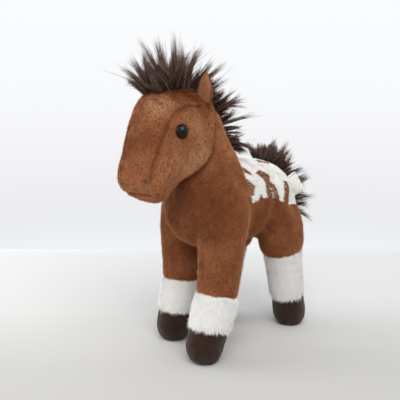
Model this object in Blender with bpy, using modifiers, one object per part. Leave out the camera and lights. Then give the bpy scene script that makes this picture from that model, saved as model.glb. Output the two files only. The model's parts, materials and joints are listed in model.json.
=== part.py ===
"""Plush appaloosa foal, about 300 mm to the tips of its forelock, standing on four stuffed legs.

Metres, +Z up. The nose points to -Y and the horse's left side is +X. The origin is on the floor under the
middle of the toy. Every skin panel is a sewn shell of plush over its own filling of polyester fibre.
"""
import math

import bmesh
import bpy
from mathutils import Matrix, Vector

# Fabric and sewing
plush_wall = 0.0024
suede_wall = 0.0020
seam_gap = 0.0003
filling_gap = 0.0012
joint_gap = 0.0004
overrun = 0.030

# Barrel of the body, chest to rump
chest_place = -0.081
body_length = 0.164
body_width = 0.088
body_height = 0.084
back_height = 0.1845
blanket_front = -0.017
blanket_edge_height = 0.142

# Neck, which swivels on its collar and carries the head on its rounded top
neck_top_place = (0.0, -0.059, 0.214)
neck_top_radius = 0.030
neck_top_width = 0.051
neck_base_depth = 0.092
neck_base_width = 0.076
neck_length = 0.068
neck_lean = math.radians(20)
collar_drop = 0.040
nod_angle = math.radians(10)

# Head, from the poll down to the muzzle
poll_place = (0.0, -0.073, 0.252)
head_length = 0.106
head_depth = 0.084
head_width = 0.070
head_lean = math.radians(29)
gusset_top_width = 0.062
gusset_nose_width = 0.034

# Safety eyes with their washers, and the sewn nostrils
eye_place = (0.0320, -0.1055, 0.2165)
eye_diameter = 0.0120
eye_bulge = 0.0045
eye_stem_diameter = 0.0040
eye_stem_length = 0.0120
washer_diameter = 0.0110
washer_thickness = 0.0012
nostril_place = (0.0178, -0.1353, 0.1743)
nostril_length = 0.0060
nostril_thickness = 0.0022

# Ears, sewn into the gusset seams
ear_place = (0.0225, -0.0690, 0.2400)
ear_height = 0.026
ear_width = 0.0190
ear_thickness = 0.0070
ear_root_depth = 0.0038
ear_splay = math.radians(8)
ear_angle = math.radians(20)
ear_lining_width = 0.0130
ear_lining_thickness = 0.0030

# Legs: a rounded top in the body, a thigh, a white sock and a suede hoof
hip_height = 0.139
hip_spread = 0.0295
front_left_hip_place = -0.045
front_right_hip_place = -0.042
hind_left_hip_place = 0.035
hind_right_hip_place = 0.040
hoof_centre_height = 0.0175
leg_bow = 0.0060
front_left_step = (0.032, -0.077)
front_right_step = (-0.030, -0.058)
hind_left_step = (0.031, 0.059)
hind_right_step = (-0.034, 0.016)
shoulder_radius = 0.027
haunch_radius = 0.029
leg_top_width = 0.041
shin_diameter = 0.0385
hoof_diameter = 0.0370
front_sock_height = 0.064
hind_sock_height = 0.087
front_hoof_height = 0.032
hind_hoof_height = 0.036
swing_angle = math.radians(12)

# Long fur: forelock, mane and tail
forelock_length = 0.046
forelock_band = (0.022, 0.009)
mane_length = 0.038
mane_band = (0.014, 0.008)
tail_band = (0.016, 0.010)
tail_length = 0.0502
lock_thickness = 0.0100
lock_spacing = 0.0062
lock_splay = math.radians(14)

# Care label, a bare folded loop in the rump seam
label_place = (0.0190, 0.0640, 0.1500)
label_direction = (0.25, 0.80, 0.55)
label_width = 0.021
label_length = 0.017
label_thickness = 0.0006
label_fold_gap = 0.0016

# Outlines, as shares of the sizes above
body_ring_shares = (
    # along the length, top below the back, bottom below the back, half width
    (0.000, 0.300, 0.775, 0.41),
    (0.067, 0.100, 0.938, 0.75),
    (0.200, -0.050, 1.000, 0.93),
    (0.410, -0.025, 1.030, 0.965),
    (0.635, 0.000, 1.020, 1.00),
    (0.820, 0.060, 1.000, 0.93),
    (0.930, 0.260, 0.870, 0.63),
    (1.000, 0.450, 0.660, 0.28),
)
neck_ring_shares = (
    # down the neck, how far the width and depth have grown from the top to the base
    (0.00, 0.00, 0.00),
    (0.24, 0.06, 0.10),
    (0.47, 0.35, 0.42),
    (0.74, 0.70, 0.76),
    (1.00, 1.00, 1.00),
)
head_ring_shares = (
    # down the head, face in front of the axis, nape behind it, half width
    (-0.030, -0.05, -0.44, 0.42),
    (0.060, 0.24, -0.50, 0.72),
    (0.220, 0.46, -0.58, 0.95),
    (0.420, 0.45, -0.63, 1.02),
    (0.600, 0.41, -0.53, 0.95),
    (0.770, 0.36, -0.29, 0.76),
    (0.930, 0.32, -0.26, 0.69),
    (1.030, 0.22, -0.18, 0.50),
)
front_leg_ring_shares = (
    # down the leg from hip to sole, width and depth as shares of the shin, and how much of the bow it has
    (0.22, 1.06, 1.28, 0.0),
    (0.46, 1.00, 1.05, 0.9),
    (0.64, 0.99, 1.00, 1.0),
    (0.80, 1.00, 1.00, 0.4),
)
hind_leg_ring_shares = (
    (0.18, 1.10, 1.58, 0.0),
    (0.30, 1.10, 1.42, 0.0),
    (0.36, 1.08, 1.32, 0.0),
    (0.42, 0.88, 0.94, 0.0),
    (0.78, 0.90, 0.90, 0.0),
)
hoof_ring_shares = (
    # down the leg from hip to sole, width as a share of the hoof, which is nearly a ball
    (0.880, 1.02),
    (0.950, 0.95),
    (0.993, 0.72),
    (1.014, 0.46),
)
dome_angle_shares = (0.76, 0.38)
pocket_angle_shares = (0.98, 0.86, 0.71, 0.56, 0.42, 0.28, 0.14, 0.0)
hip_swell_share = 1.03
leg_pocket_share = 0.98
neck_pocket_share = 0.986
end_shift_share = 0.15
end_size_share = 0.80
eye_turn_shares = (0.55, 0.30)
eye_level_share = 0.45
ear_curl_share = 0.3
lining_low_share = 0.28
lining_high_share = 0.90
lining_push_share = 0.42
ear_outline_shares = ((0.0, 0.70, 1.0), (0.35, 1.0, 0.9), (0.72, 0.72, 0.7), (1.0, 0.16, 0.5))
lock_ring_shares = ((0.0, 1.0), (0.35, 0.92), (0.72, 0.58))
droop_share = 0.10
outer_lock_share = 0.16
forelock_crest_shares = (
    # down the head, in front of its axis
    (0.215, 0.350),
    (0.118, 0.255),
    (0.038, 0.120),
    (-0.010, -0.036),
    (-0.030, -0.180),
)
forelock_row_shares = (
    # along the crest, lean as a share of a quarter turn, length, locks in the row
    (0.04, 0.50, 0.76, 3),
    (0.28, 0.28, 0.80, 3),
    (0.50, -0.03, 1.00, 3),
    (0.74, -0.34, 0.92, 2),
    (0.96, -0.60, 0.86, 2),
)
mane_crest_shares = (
    # down the neck from its top, depth behind its axis
    (-0.10, 0.640),
    (0.10, 0.665),
    (0.32, 0.735),
    (0.50, 0.815),
)
mane_row_shares = (
    (0.04, -0.62, 1.00, 2),
    (0.34, -0.78, 1.00, 3),
    (0.64, -0.90, 0.84, 2),
    (0.94, -0.98, 0.70, 3),
)
tail_crest_shares = (
    # along the body from the chest, down from the back
    (0.758, 0.020),
    (0.845, 0.085),
    (0.915, 0.200),
    (0.970, 0.350),
    (1.006, 0.530),
    (1.016, 0.720),
    (1.006, 0.880),
)
tail_row_shares = (
    (0.10, -0.06, 0.44, 2),
    (0.26, -0.16, 0.57, 3),
    (0.41, -0.28, 0.62, 2),
    (0.55, -0.62, 0.69, 3),
    (0.69, -1.05, 1.22, 2),
    (0.83, -1.14, 0.78, 3),
    (0.95, -1.28, 0.56, 2),
)
ring_points = 8
core_points = 10
leg_ring_points = 6
lock_sides = 5


def clear_scene():
    for thing in list(bpy.data.objects):
        bpy.data.objects.remove(thing, do_unlink=True)
    for group in list(bpy.data.collections):
        bpy.data.collections.remove(group)


def new_collection(name):
    group = bpy.data.collections.new(name)
    bpy.context.scene.collection.children.link(group)
    return group


def finish(name, colour, roughness, metallic=0.0):
    material = bpy.data.materials.new(name)
    material.use_nodes = True
    shader = material.node_tree.nodes["Principled BSDF"]
    shader.inputs["Base Color"].default_value = (*colour, 1.0)
    shader.inputs["Roughness"].default_value = roughness
    shader.inputs["Metallic"].default_value = metallic
    return material


clear_scene()
parts = new_collection("plush_horse")
cutters = new_collection("cutters")

brown_plush = finish("brown_plush", (0.19, 0.065, 0.028), 0.95)
tan_plush = finish("tan_plush", (0.33, 0.15, 0.065), 0.95)
white_plush = finish("white_plush", (0.82, 0.79, 0.74), 0.95)
hoof_suede = finish("hoof_suede", (0.035, 0.018, 0.012), 0.9)
dark_fur = finish("dark_fur", (0.045, 0.022, 0.020), 0.85)
polyester_fill = finish("polyester_fill", (0.85, 0.85, 0.83), 1.0)
black_eye = finish("black_eye", (0.008, 0.007, 0.006), 0.08)
washer_plastic = finish("washer_plastic", (0.75, 0.75, 0.72), 0.45)
dark_thread = finish("dark_thread", (0.02, 0.012, 0.01), 0.8)
label_satin = finish("label_satin", (0.80, 0.78, 0.74), 0.6)


def place_mesh(name, mesh_data, material=None, is_cutter=False):
    """Make an object of a bmesh, as a part with its own finish or as a hidden cutter."""
    mesh = bpy.data.meshes.new(name)
    bmesh.ops.recalc_face_normals(mesh_data, faces=mesh_data.faces)
    mesh_data.to_mesh(mesh)
    mesh_data.free()
    thing = bpy.data.objects.new(name, mesh)
    (cutters if is_cutter else parts).objects.link(thing)
    if is_cutter:
        thing.hide_render = True
        thing.display_type = "WIRE"
    if material:
        mesh.materials.append(material)
    for face in mesh.polygons:
        face.use_smooth = True
    return thing


def ring(centre, across, along, count, swell=1.0):
    """Points round an oval with the half widths across and along."""
    turns = [2 * math.pi * (index + 0.5) / count for index in range(count)]
    return [centre + (across * math.cos(turn) + along * math.sin(turn)) * swell for turn in turns]


def loft(name, rings, material=None, is_cutter=True):
    """A closed skin through the rings, which unlike sections need, with flat ends."""
    shape = bmesh.new()
    loops = [[shape.verts.new(point) for point in points] for points in rings]
    count = len(loops[0])
    for upper, lower in zip(loops, loops[1:]):
        for index in range(count):
            after = (index + 1) % count
            shape.faces.new((upper[index], upper[after], lower[after], lower[index]))
    shape.faces.new(loops[0])
    shape.faces.new(loops[-1])
    return place_mesh(name, shape, material, is_cutter)


def soft_form(name, stations, count, material=None, is_cutter=True, spread=0.0):
    """A coarse cage through the stations, each a centre and two half widths, smoothed by subdivision.

    The cage is swollen by what the smoothing takes off a ring. A spread pushes the smoothed skin outwards.
    """
    swell = 1.0 / (0.75 + 0.25 * math.cos(2 * math.pi / count))
    rings = [ring(centre, across, along, count, swell) for centre, across, along in stations]
    thing = loft(name, rings, material, is_cutter)
    smooth = thing.modifiers.new("soft", "SUBSURF")
    smooth.levels = 1
    smooth.render_levels = 1
    if spread:
        push_out = thing.modifiers.new("spread", "DISPLACE")
        push_out.strength = spread
        push_out.mid_level = 0.0
    return thing


def shortened(half_width, depth):
    return half_width * (1.0 - depth / half_width.length)


def core_form(name, stations, depth, count, material=None, is_cutter=True):
    """The hollow of a soft form, or its filling: a plain loft that lies the depth under the smoothed skin."""
    rings = []
    last = len(stations) - 1
    for index, (centre, across, along) in enumerate(stations):
        if index in (0, last):
            inner = stations[1 if index == 0 else last - 1][0]
            inwards = (inner - centre).normalized()
            middle = centre.lerp(inner, end_shift_share) + inwards * depth
            across = across * end_size_share
            along = along * end_size_share
        else:
            before, after = stations[index - 1], stations[index + 1]
            middle = (before[0] + centre * 6 + after[0]) / 8
            across = (before[1] + across * 6 + after[1]) / 8
            along = (before[2] + along * 6 + after[2]) / 8
        rings.append(ring(middle, shortened(across, depth), shortened(along, depth), count))
    return loft(name, rings, material, is_cutter)


def box_cutter(name, low, high, turn=None):
    """A box between two corners, turned about the origin if a matrix is given."""
    shape = bmesh.new()
    size = Vector(high) - Vector(low)
    middle = (Vector(high) + Vector(low)) / 2
    bmesh.ops.create_cube(shape, size=1.0)
    bmesh.ops.scale(shape, vec=size, verts=shape.verts)
    bmesh.ops.translate(shape, vec=middle, verts=shape.verts)
    if turn:
        bmesh.ops.transform(shape, matrix=turn, verts=shape.verts)
    return place_mesh(name, shape, is_cutter=True)


def combine(target, tool, operation):
    step = target.modifiers.new(operation.lower() + "_" + tool.name, "BOOLEAN")
    step.operation = operation
    step.object = tool
    step.solver = "EXACT"


def cut(target, *tools):
    for tool in tools:
        combine(target, tool, "DIFFERENCE")


def keep_inside(target, *tools):
    for tool in tools:
        combine(target, tool, "INTERSECT")


def add(target, *tools):
    for tool in tools:
        combine(target, tool, "UNION")


def along_share(start, end, share):
    return start + (end - start) * share


# Body barrel

far = body_length + overrun
body_stations = []
for along, top, bottom, half in body_ring_shares:
    high = back_height - top * body_height
    low = back_height - bottom * body_height
    body_stations.append((
        Vector((0, chest_place + along * body_length, (high + low) / 2)),
        Vector((half * body_width / 2, 0, 0)),
        Vector((0, 0, (high - low) / 2)),
    ))


# Neck, a tapering column with a rounded top

neck_top = Vector(neck_top_place)
neck_up = Vector((0, -math.sin(neck_lean), math.cos(neck_lean)))
neck_forward = Vector((0, -math.cos(neck_lean), -math.sin(neck_lean)))
sideways = Vector((1, 0, 0))


def dome_stations(centre, half_width, radius, up, forward):
    """Stations over a rounded top that is a circle seen along X, for a hinge along X."""
    swell = 1.0 / (0.75 + 0.25 * math.cos(math.pi / 2 * dome_angle_shares[-1]))
    stations = []
    for share in dome_angle_shares:
        angle = share * math.pi / 2
        middle = centre + up * (radius * swell * math.sin(angle))
        shrink = swell * math.cos(angle)
        stations.append((middle, sideways * (half_width * shrink), forward * (radius * shrink)))
    return stations


neck_stations = dome_stations(neck_top, neck_top_width / 2, neck_top_radius, neck_up, neck_forward)
for down, wider, deeper in neck_ring_shares:
    half_width = along_share(neck_top_width, neck_base_width, wider) / 2
    half_depth = along_share(2 * neck_top_radius, neck_base_depth, deeper) / 2
    neck_stations.append((neck_top - neck_up * (down * neck_length), sideways * half_width,
                          neck_forward * half_depth))


def collar_half(name, above, gap):
    """A box on one side of the collar plane, which is square to the neck."""
    turn = Matrix.Translation(neck_top) @ Matrix.Rotation(neck_lean, 4, "X")
    if above:
        return box_cutter(name, (-far, -far, gap - collar_drop), (far, far, far), turn)
    return box_cutter(name, (-far, -far, -far), (far, far, -collar_drop - gap), turn)


# Hinge pockets

def hinge_pocket(name, centre, half_width, radius, up, forward, down_rings, angle):
    """The room that a rounded top needs in its neighbour: its dome, and a skirt that clears the swing.

    down_rings gives, for places down the limb, the distance, side shift, half width and half depth.
    """
    gap = joint_gap
    rings = []
    points = 2 * ring_points
    face_swell = 1.0 / math.cos(math.pi / points)
    for share in pocket_angle_shares:
        lift = share * math.pi / 2
        middle = centre + up * ((radius + gap) * math.sin(lift))
        across = sideways * ((half_width + gap) * math.cos(lift) * face_swell)
        along = forward * ((radius + gap) * math.cos(lift) * face_swell)
        rings.append(ring(middle, across, along, points))
    for distance, shift, width, depth in down_rings:
        middle = centre - up * distance + sideways * shift
        reach = depth / math.cos(angle) + distance * math.tan(angle) + gap
        across = sideways * ((width + gap) * face_swell)
        rings.append(ring(middle, across, forward * (reach * face_swell), points))
    return loft(name, rings)


# Legs

class Leg:
    """One leg's places: its hinge at the hip, its foot, and the lean between them."""

    def __init__(self, name, hip, step, top_radius, ring_shares, sock_height, hoof_height):
        self.name = name
        self.top_radius = top_radius
        self.ring_shares = ring_shares
        self.sock_height = sock_height
        self.hoof_height = hoof_height
        self.hip = Vector(hip)
        self.foot = Vector((step[0], step[1], hoof_centre_height))
        fall = self.hip - self.foot
        self.shift = -fall.x
        self.length = math.hypot(fall.y, fall.z)
        self.whole = self.length + hoof_centre_height
        self.up = Vector((0, fall.y, fall.z)) / self.length
        self.forward = Vector((0, -self.up.z, self.up.y))

    def centre(self, distance):
        return self.hip - self.up * distance + sideways * (self.shift * distance / self.length)

    def down_rings(self):
        rows = []
        for down, width, depth, bow in self.ring_shares:
            rows.append((down * self.whole, width * shin_diameter / 2, depth * shin_diameter / 2, bow * leg_bow))
        return rows

    def stations(self):
        half_width = leg_top_width / 2
        rows = dome_stations(self.hip, half_width, self.top_radius, self.up, self.forward)
        rows.append((self.hip, sideways * (half_width * hip_swell_share),
                     self.forward * (self.top_radius * hip_swell_share)))
        for distance, width, depth, bow in self.down_rings():
            rows.append((self.centre(distance) - self.forward * bow, sideways * width, self.forward * depth))
        for down, width in hoof_ring_shares:
            half = width * hoof_diameter / 2
            rows.append((self.centre(down * self.whole), sideways * half, self.forward * half))
        return rows

    def skin(self, name, material):
        return soft_form(name, self.stations(), leg_ring_points, material, is_cutter=False)

    def pocket(self):
        rows = []
        for distance, width, depth, bow in self.down_rings()[:2]:
            rows.append((distance, self.shift * distance / self.length, width, depth + bow))
        return hinge_pocket(self.name + "_pocket", self.hip, leg_pocket_share * leg_top_width / 2,
                            leg_pocket_share * self.top_radius, self.up, self.forward, rows, swing_angle)

    def band(self, name, low, high):
        """The room between two heights of the standing leg, square to its lean."""
        angle = math.atan2(self.forward.z, -self.forward.y)
        turn = Matrix.Translation(self.foot) @ Matrix.Rotation(-angle, 4, "X")
        return box_cutter(name, (-far, -far, low - hoof_centre_height), (far, far, high - hoof_centre_height),
                          turn)


fore = (shoulder_radius, front_leg_ring_shares, front_sock_height, front_hoof_height)
hind = (haunch_radius, hind_leg_ring_shares, hind_sock_height, hind_hoof_height)
legs = (
    Leg("front_left", (hip_spread, front_left_hip_place, hip_height), front_left_step, *fore),
    Leg("front_right", (-hip_spread, front_right_hip_place, hip_height), front_right_step, *fore),
    Leg("hind_left", (hip_spread, hind_left_hip_place, hip_height), hind_left_step, *hind),
    Leg("hind_right", (-hip_spread, hind_right_hip_place, hip_height), hind_right_step, *hind),
)
above_sole = box_cutter("above_sole", (-far, -far, suede_wall + seam_gap), (far, far, far))
sole_slice = box_cutter("sole_slice", (-far, -far, 0), (far, far, suede_wall))


def build_leg(leg):
    hollow = core_form(leg.name + "_hollow", leg.stations(), plush_wall, ring_points)
    upper_band = leg.band(leg.name + "_upper_band", leg.sock_height + seam_gap, far)
    sock_band = leg.band(leg.name + "_sock_band", leg.hoof_height + seam_gap, leg.sock_height)
    hoof_band = leg.band(leg.name + "_hoof_band", -far, leg.hoof_height)

    cover = leg.skin(leg.name + "_leg_cover", brown_plush)
    cut(cover, hollow)
    keep_inside(cover, upper_band)

    sock = leg.skin(leg.name + "_sock", white_plush)
    cut(sock, hollow)
    keep_inside(sock, sock_band)

    hoof = leg.skin(leg.name + "_hoof", hoof_suede)
    cut(hoof, hollow)
    keep_inside(hoof, hoof_band, above_sole)

    sole = leg.skin(leg.name + "_sole", hoof_suede)
    keep_inside(sole, sole_slice)

    filling = core_form(leg.name + "_leg_filling", leg.stations(), plush_wall + filling_gap, ring_points,
                        polyester_fill, is_cutter=False)
    keep_inside(filling, above_sole)


pockets = []
for leg in legs:
    pockets.append(leg.pocket())
    build_leg(leg)


# Body covers and filling

below_collar = collar_half("below_collar", False, 0.0)
above_collar = collar_half("above_collar", True, seam_gap)
body_hollow = core_form("body_hollow", body_stations, plush_wall, core_points)
neck_hollow = core_form("neck_hollow", neck_stations, plush_wall, core_points)
neck_outside = soft_form("neck_outside", neck_stations, ring_points)
blanket_room = box_cutter("blanket_room", (-far, blanket_front, blanket_edge_height), (far, far, far))
blanket_clearance = box_cutter("blanket_clearance",
                               (-far, blanket_front - seam_gap, blanket_edge_height - seam_gap),
                               (far, far, far))


def trunk_shell(name, material):
    """The plush over barrel and neck root, hollow, cut at the collar and at the hips."""
    shell = soft_form(name, body_stations, ring_points, material, is_cutter=False)
    add(shell, neck_outside)
    keep_inside(shell, below_collar)
    cut(shell, body_hollow, neck_hollow, *pockets)
    return shell


body_cover = trunk_shell("body_cover", brown_plush)
cut(body_cover, blanket_clearance)
rump_blanket = trunk_shell("rump_blanket", white_plush)
keep_inside(rump_blanket, blanket_room)

neck_core = core_form("neck_core", neck_stations, plush_wall + filling_gap, core_points)
body_filling = core_form("body_filling", body_stations, plush_wall + filling_gap, core_points, polyester_fill,
                         is_cutter=False)
add(body_filling, neck_core)
keep_inside(body_filling, below_collar)
cut(body_filling, *pockets)

neck_cover = soft_form("neck_cover", neck_stations, ring_points, brown_plush, is_cutter=False)
cut(neck_cover, neck_hollow)
keep_inside(neck_cover, above_collar)
neck_filling = core_form("neck_filling", neck_stations, plush_wall + filling_gap, core_points, polyester_fill,
                         is_cutter=False)
keep_inside(neck_filling, above_collar)


# Head

poll = Vector(poll_place)
head_down = Vector((0, -math.sin(head_lean), -math.cos(head_lean)))
face_forward = Vector((0, -math.cos(head_lean), math.sin(head_lean)))


def head_point(down, forward, side=0.0):
    """A place in the head, from shares of its length and depth and a distance to its side."""
    return poll + head_down * (down * head_length) + face_forward * (forward * head_depth) + sideways * side


head_stations = []
for down, face, nape, half in head_ring_shares:
    head_stations.append((head_point(down, (face + nape) / 2), sideways * (half * head_width / 2),
                          face_forward * ((face - nape) / 2 * head_depth)))


# The nod lifts the lower neck into the pocket, so each ring there is as big as the neck halfway to its next ring.
neck_rows = []
for here, below in zip(neck_ring_shares[1:], neck_ring_shares[2:]):
    wider = (here[1] + below[1]) / 2
    deeper = (here[2] + below[2]) / 2
    neck_rows.append((here[0] * neck_length, 0.0, along_share(neck_top_width, neck_base_width, wider) / 2,
                      along_share(2 * neck_top_radius, neck_base_depth, deeper) / 2))
neck_pocket = hinge_pocket("neck_pocket", neck_top, neck_pocket_share * neck_top_width / 2,
                           neck_pocket_share * neck_top_radius, neck_up, neck_forward, neck_rows, nod_angle)


def gusset_wedge(name, gap):
    """The strip between the two face seams, wide at the forelock and narrow at the nose."""
    rings = []
    for distance, width in ((-overrun, gusset_top_width), (head_length + overrun, gusset_nose_width)):
        half = width / 2 + gap
        start = poll + head_down * distance
        rings.append([
            start - sideways * half,
            start + sideways * half,
            start + sideways * half + face_forward * head_depth,
            start - sideways * half + face_forward * head_depth,
        ])
    return loft(name, rings)


def eye_frame(side):
    """A frame at the eye with +Z pointing out of the head."""
    x, y, z = eye_place
    centre = Vector((side * x, y, z))
    head_middle = head_point(eye_level_share, 0)
    forward, upward = eye_turn_shares
    outward = Vector((side * x, (y - head_middle.y) * forward, (z - head_middle.z) * upward)).normalized()
    turn = outward.to_track_quat("Z", "Y").to_matrix().to_4x4()
    return Matrix.Translation(centre) @ turn


def rod(name, frame, radius, low, high, material=None, is_cutter=True, sides=12):
    shape = bmesh.new()
    middle = Matrix.Translation((0, 0, (low + high) / 2))
    bmesh.ops.create_cone(shape, cap_ends=True, segments=sides, radius1=radius, radius2=radius,
                          depth=high - low, matrix=frame @ middle)
    return place_mesh(name, shape, material, is_cutter)


head_hollow = core_form("head_hollow", head_stations, plush_wall, core_points)
gusset_room = gusset_wedge("gusset_room", 0.0)
gusset_clearance = gusset_wedge("gusset_clearance", seam_gap)
left_room = box_cutter("left_room", (seam_gap / 2, -far, -far), (far, far, 2 * far))
right_room = box_cutter("right_room", (-far, -far, -far), (-seam_gap / 2, far, 2 * far))
eye_bores = []
washer_rooms = []
for side, word in ((1, "left"), (-1, "right")):
    frame = eye_frame(side)
    eye_flat = -eye_bulge / 3
    eye_bores.append(rod(word + "_stem_bore", frame, eye_stem_diameter / 2 + seam_gap,
                          eye_flat - eye_stem_length - seam_gap, overrun))
    washer_top = eye_flat - plush_wall - 2 * seam_gap
    washer_bed = washer_top - washer_thickness - seam_gap
    washer_rooms.append(rod(word + "_washer_room", frame, washer_diameter / 2 + seam_gap, washer_bed,
                            washer_top + plush_wall))
    eye_bores.append(rod(word + "_washer_bed", frame, washer_diameter / 2 + seam_gap, washer_bed,
                          washer_top + seam_gap))
    seat = rod(word + "_eye_seat", frame, eye_diameter / 2 + seam_gap, eye_flat, overrun)
    eye_bores.append(seat)

    eye = rod(word + "_eye", frame, eye_stem_diameter / 2, eye_flat - eye_stem_length, 0,
              material=black_eye, is_cutter=False)
    dome = bmesh.new()
    flatten = Matrix.Diagonal((1, 1, (eye_bulge - eye_flat) / (eye_diameter / 2), 1))
    bmesh.ops.create_uvsphere(dome, u_segments=14, v_segments=8, radius=eye_diameter / 2,
                              matrix=frame @ Matrix.Translation((0, 0, eye_flat)) @ flatten)
    dome = place_mesh(word + "_eye_dome", dome, is_cutter=True)
    keep_inside(dome, rod(word + "_eye_half", frame, eye_diameter, eye_flat + seam_gap, overrun))
    add(eye, dome)

    washer = rod(word + "_eye_washer", frame, washer_diameter / 2, washer_top - washer_thickness, washer_top,
                 material=washer_plastic, is_cutter=False)
    cut(washer, rod(word + "_washer_bore", frame, eye_stem_diameter / 2 + seam_gap, -overrun, 0))


# Ears, each on a hinge along X at its sewn root

def ear_frame(side):
    x, y, z = ear_place
    lean = Matrix.Rotation(side * ear_splay, 4, "Y")
    return Matrix.Translation((side * x, y, z)) @ lean


def ear_stations(side, width, thickness, low, high, push):
    """Leaf outline: widest at a third of its height, pointed at the tip, leaning forwards."""
    frame = ear_frame(side)
    stations = []
    for up, wide, thick in ear_outline_shares:
        height = along_share(low, high, up)
        centre = frame @ Vector((0, -push - thickness * ear_curl_share * up, height))
        across = frame.to_3x3() @ Vector((wide * width / 2, 0, 0))
        stations.append((centre, across, Vector((0, thick * thickness / 2, 0))))
    return stations


def keyhole(name, frame, radius, half_length, height, angle):
    """A groove along X with a flared mouth above it, for a root bar and its swing."""
    outline = []
    steps = ring_points
    for index in range(steps + 1):
        turn = math.pi + angle + (math.pi - 2 * angle) * index / steps
        outline.append((radius * math.cos(turn), radius * math.sin(turn)))
    reach = radius / math.cos(angle) + height * math.tan(angle)
    outline.append((reach, height))
    outline.append((-reach, height))
    rings = []
    for end in (-half_length, half_length):
        rings.append([frame @ Vector((end, y, z)) for y, z in outline])
    return loft(name, rings)


ear_sockets = []
for side, word in ((1, "left"), (-1, "right")):
    frame = ear_frame(side)
    ear = soft_form(word + "_ear", ear_stations(side, ear_width, ear_thickness, -ear_root_depth, ear_height, 0),
                    leg_ring_points, brown_plush, is_cutter=False)
    lining = ear_stations(side, ear_lining_width, ear_lining_thickness, ear_height * lining_low_share,
                          ear_height * lining_high_share, ear_thickness * lining_push_share)
    cut(ear, soft_form(word + "_lining_room", lining, leg_ring_points, spread=seam_gap))
    soft_form(word + "_ear_lining", lining, leg_ring_points, tan_plush, is_cutter=False)
    ear_sockets.append(keyhole(word + "_ear_socket", frame, ear_thickness / 2 + joint_gap,
                               ear_width / 2 + joint_gap, ear_height / 2, ear_angle))


# Head panels and filling, cut round the neck, the eyes and the ears

def head_shell(name):
    shell = soft_form(name, head_stations, ring_points, brown_plush, is_cutter=False)
    cut(shell, head_hollow, neck_pocket, *eye_bores, *ear_sockets)
    return shell


left_panel = head_shell("head_left_panel")
keep_inside(left_panel, left_room)
cut(left_panel, gusset_clearance)
right_panel = head_shell("head_right_panel")
keep_inside(right_panel, right_room)
cut(right_panel, gusset_clearance)
gusset = head_shell("head_gusset")
keep_inside(gusset, gusset_room)
head_filling = core_form("head_filling", head_stations, plush_wall + filling_gap, core_points, polyester_fill,
                         is_cutter=False)
cut(head_filling, neck_pocket, *eye_bores, *washer_rooms, *ear_sockets)


# Nostrils, each a short satin stitch that lies on the gusset seam

head_clearance = soft_form("head_clearance", head_stations, ring_points, spread=seam_gap)
for side, word in ((1, "left"), (-1, "right")):
    x, y, z = nostril_place
    stitch = bmesh.new()
    stretch = Matrix.Diagonal((nostril_thickness, nostril_thickness, nostril_length, 1))
    bmesh.ops.create_uvsphere(stitch, u_segments=8, v_segments=6, radius=0.5,
                              matrix=Matrix.Translation((side * x, y, z)) @ stretch)
    stitch = place_mesh(word + "_nostril_stitch", stitch, dark_thread)
    cut(stitch, head_clearance)


# Long fur: each piece is a sewn backing with pointed locks standing out of it

def lock(name, root, tip, droop):
    """One pointed lock of fur from its root to its tip, bowed by the droop."""
    shape = bmesh.new()
    rise = tip - root
    side = rise.orthogonal().normalized()
    other = rise.normalized().cross(side)
    loops = []
    for up, thick in lock_ring_shares:
        centre = root + rise * up + droop * (up * up)
        half = thick * lock_thickness / 2
        points = ring(centre, side * half, other * half, lock_sides)
        loops.append([shape.verts.new(point) for point in points])
    point = shape.verts.new(tip + droop)
    shape.faces.new(loops[0])
    for index in range(lock_sides):
        after = (index + 1) % lock_sides
        for lower, upper in zip(loops, loops[1:]):
            shape.faces.new((lower[index], lower[after], upper[after], upper[index]))
        shape.faces.new((loops[-1][index], loops[-1][after], point))
    return place_mesh(name, shape, is_cutter=True)


def backing_strip(name, points, band):
    """A sewn fur backing along a crest, as wide and thick as the band."""
    width, thickness = band
    rings = []
    for index, point in enumerate(points):
        before = points[max(index - 1, 0)]
        after = points[min(index + 1, len(points) - 1)]
        outwards = (after - before).normalized().cross(sideways)
        rings.append(ring(point, sideways * (width / 2), outwards * (thickness / 2), leg_ring_points))
    return loft(name, rings, dark_fur, is_cutter=False)


def crest_point(points, share):
    """The place at a share of the way along a crest."""
    step = share * (len(points) - 1)
    index = min(int(step), len(points) - 2)
    return points[index].lerp(points[index + 1], step - index)


def long_fur(name, points, band, rows, length, clearance):
    """Rows of locks joined to their backing, the outer ones shorter, trimmed clear of the skin under it."""
    piece = backing_strip(name, points, band)
    group = bpy.data.collections.new(name + "_locks")
    cutters.children.link(group)
    for number, (along, lean, size, count) in enumerate(rows):
        root = crest_point(points, along)
        for index in range(count):
            aside = index - (count - 1) / 2
            start = root + sideways * (aside * lock_spacing)
            reach = size * length * (1 - outer_lock_share * abs(aside))
            turn = lean * math.pi / 2
            splay = aside * lock_splay
            way = Vector((math.sin(splay), -math.sin(turn) * math.cos(splay), math.cos(turn) * math.cos(splay)))
            droop = Vector((0, 0, -reach * droop_share))
            thing = lock(f"{name}_lock_{number}_{index}", start, start + way * reach, droop)
            cutters.objects.unlink(thing)
            group.objects.link(thing)
    join = piece.modifiers.new("locks", "BOOLEAN")
    join.operation = "UNION"
    join.operand_type = "COLLECTION"
    join.collection = group
    join.solver = "EXACT"
    cut(piece, clearance)


forelock_points = [head_point(down, forward) for down, forward in forelock_crest_shares]
long_fur("forelock", forelock_points, forelock_band, forelock_row_shares, forelock_length, head_clearance)

neck_clearance = soft_form("neck_clearance", neck_stations, ring_points, spread=seam_gap)
mane_points = []
for down, depth in mane_crest_shares:
    mane_points.append(neck_top - neck_up * (down * neck_length)
                       - neck_forward * (depth * neck_base_depth / 2))
long_fur("neck_mane", mane_points, mane_band, mane_row_shares, mane_length, neck_clearance)

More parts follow.
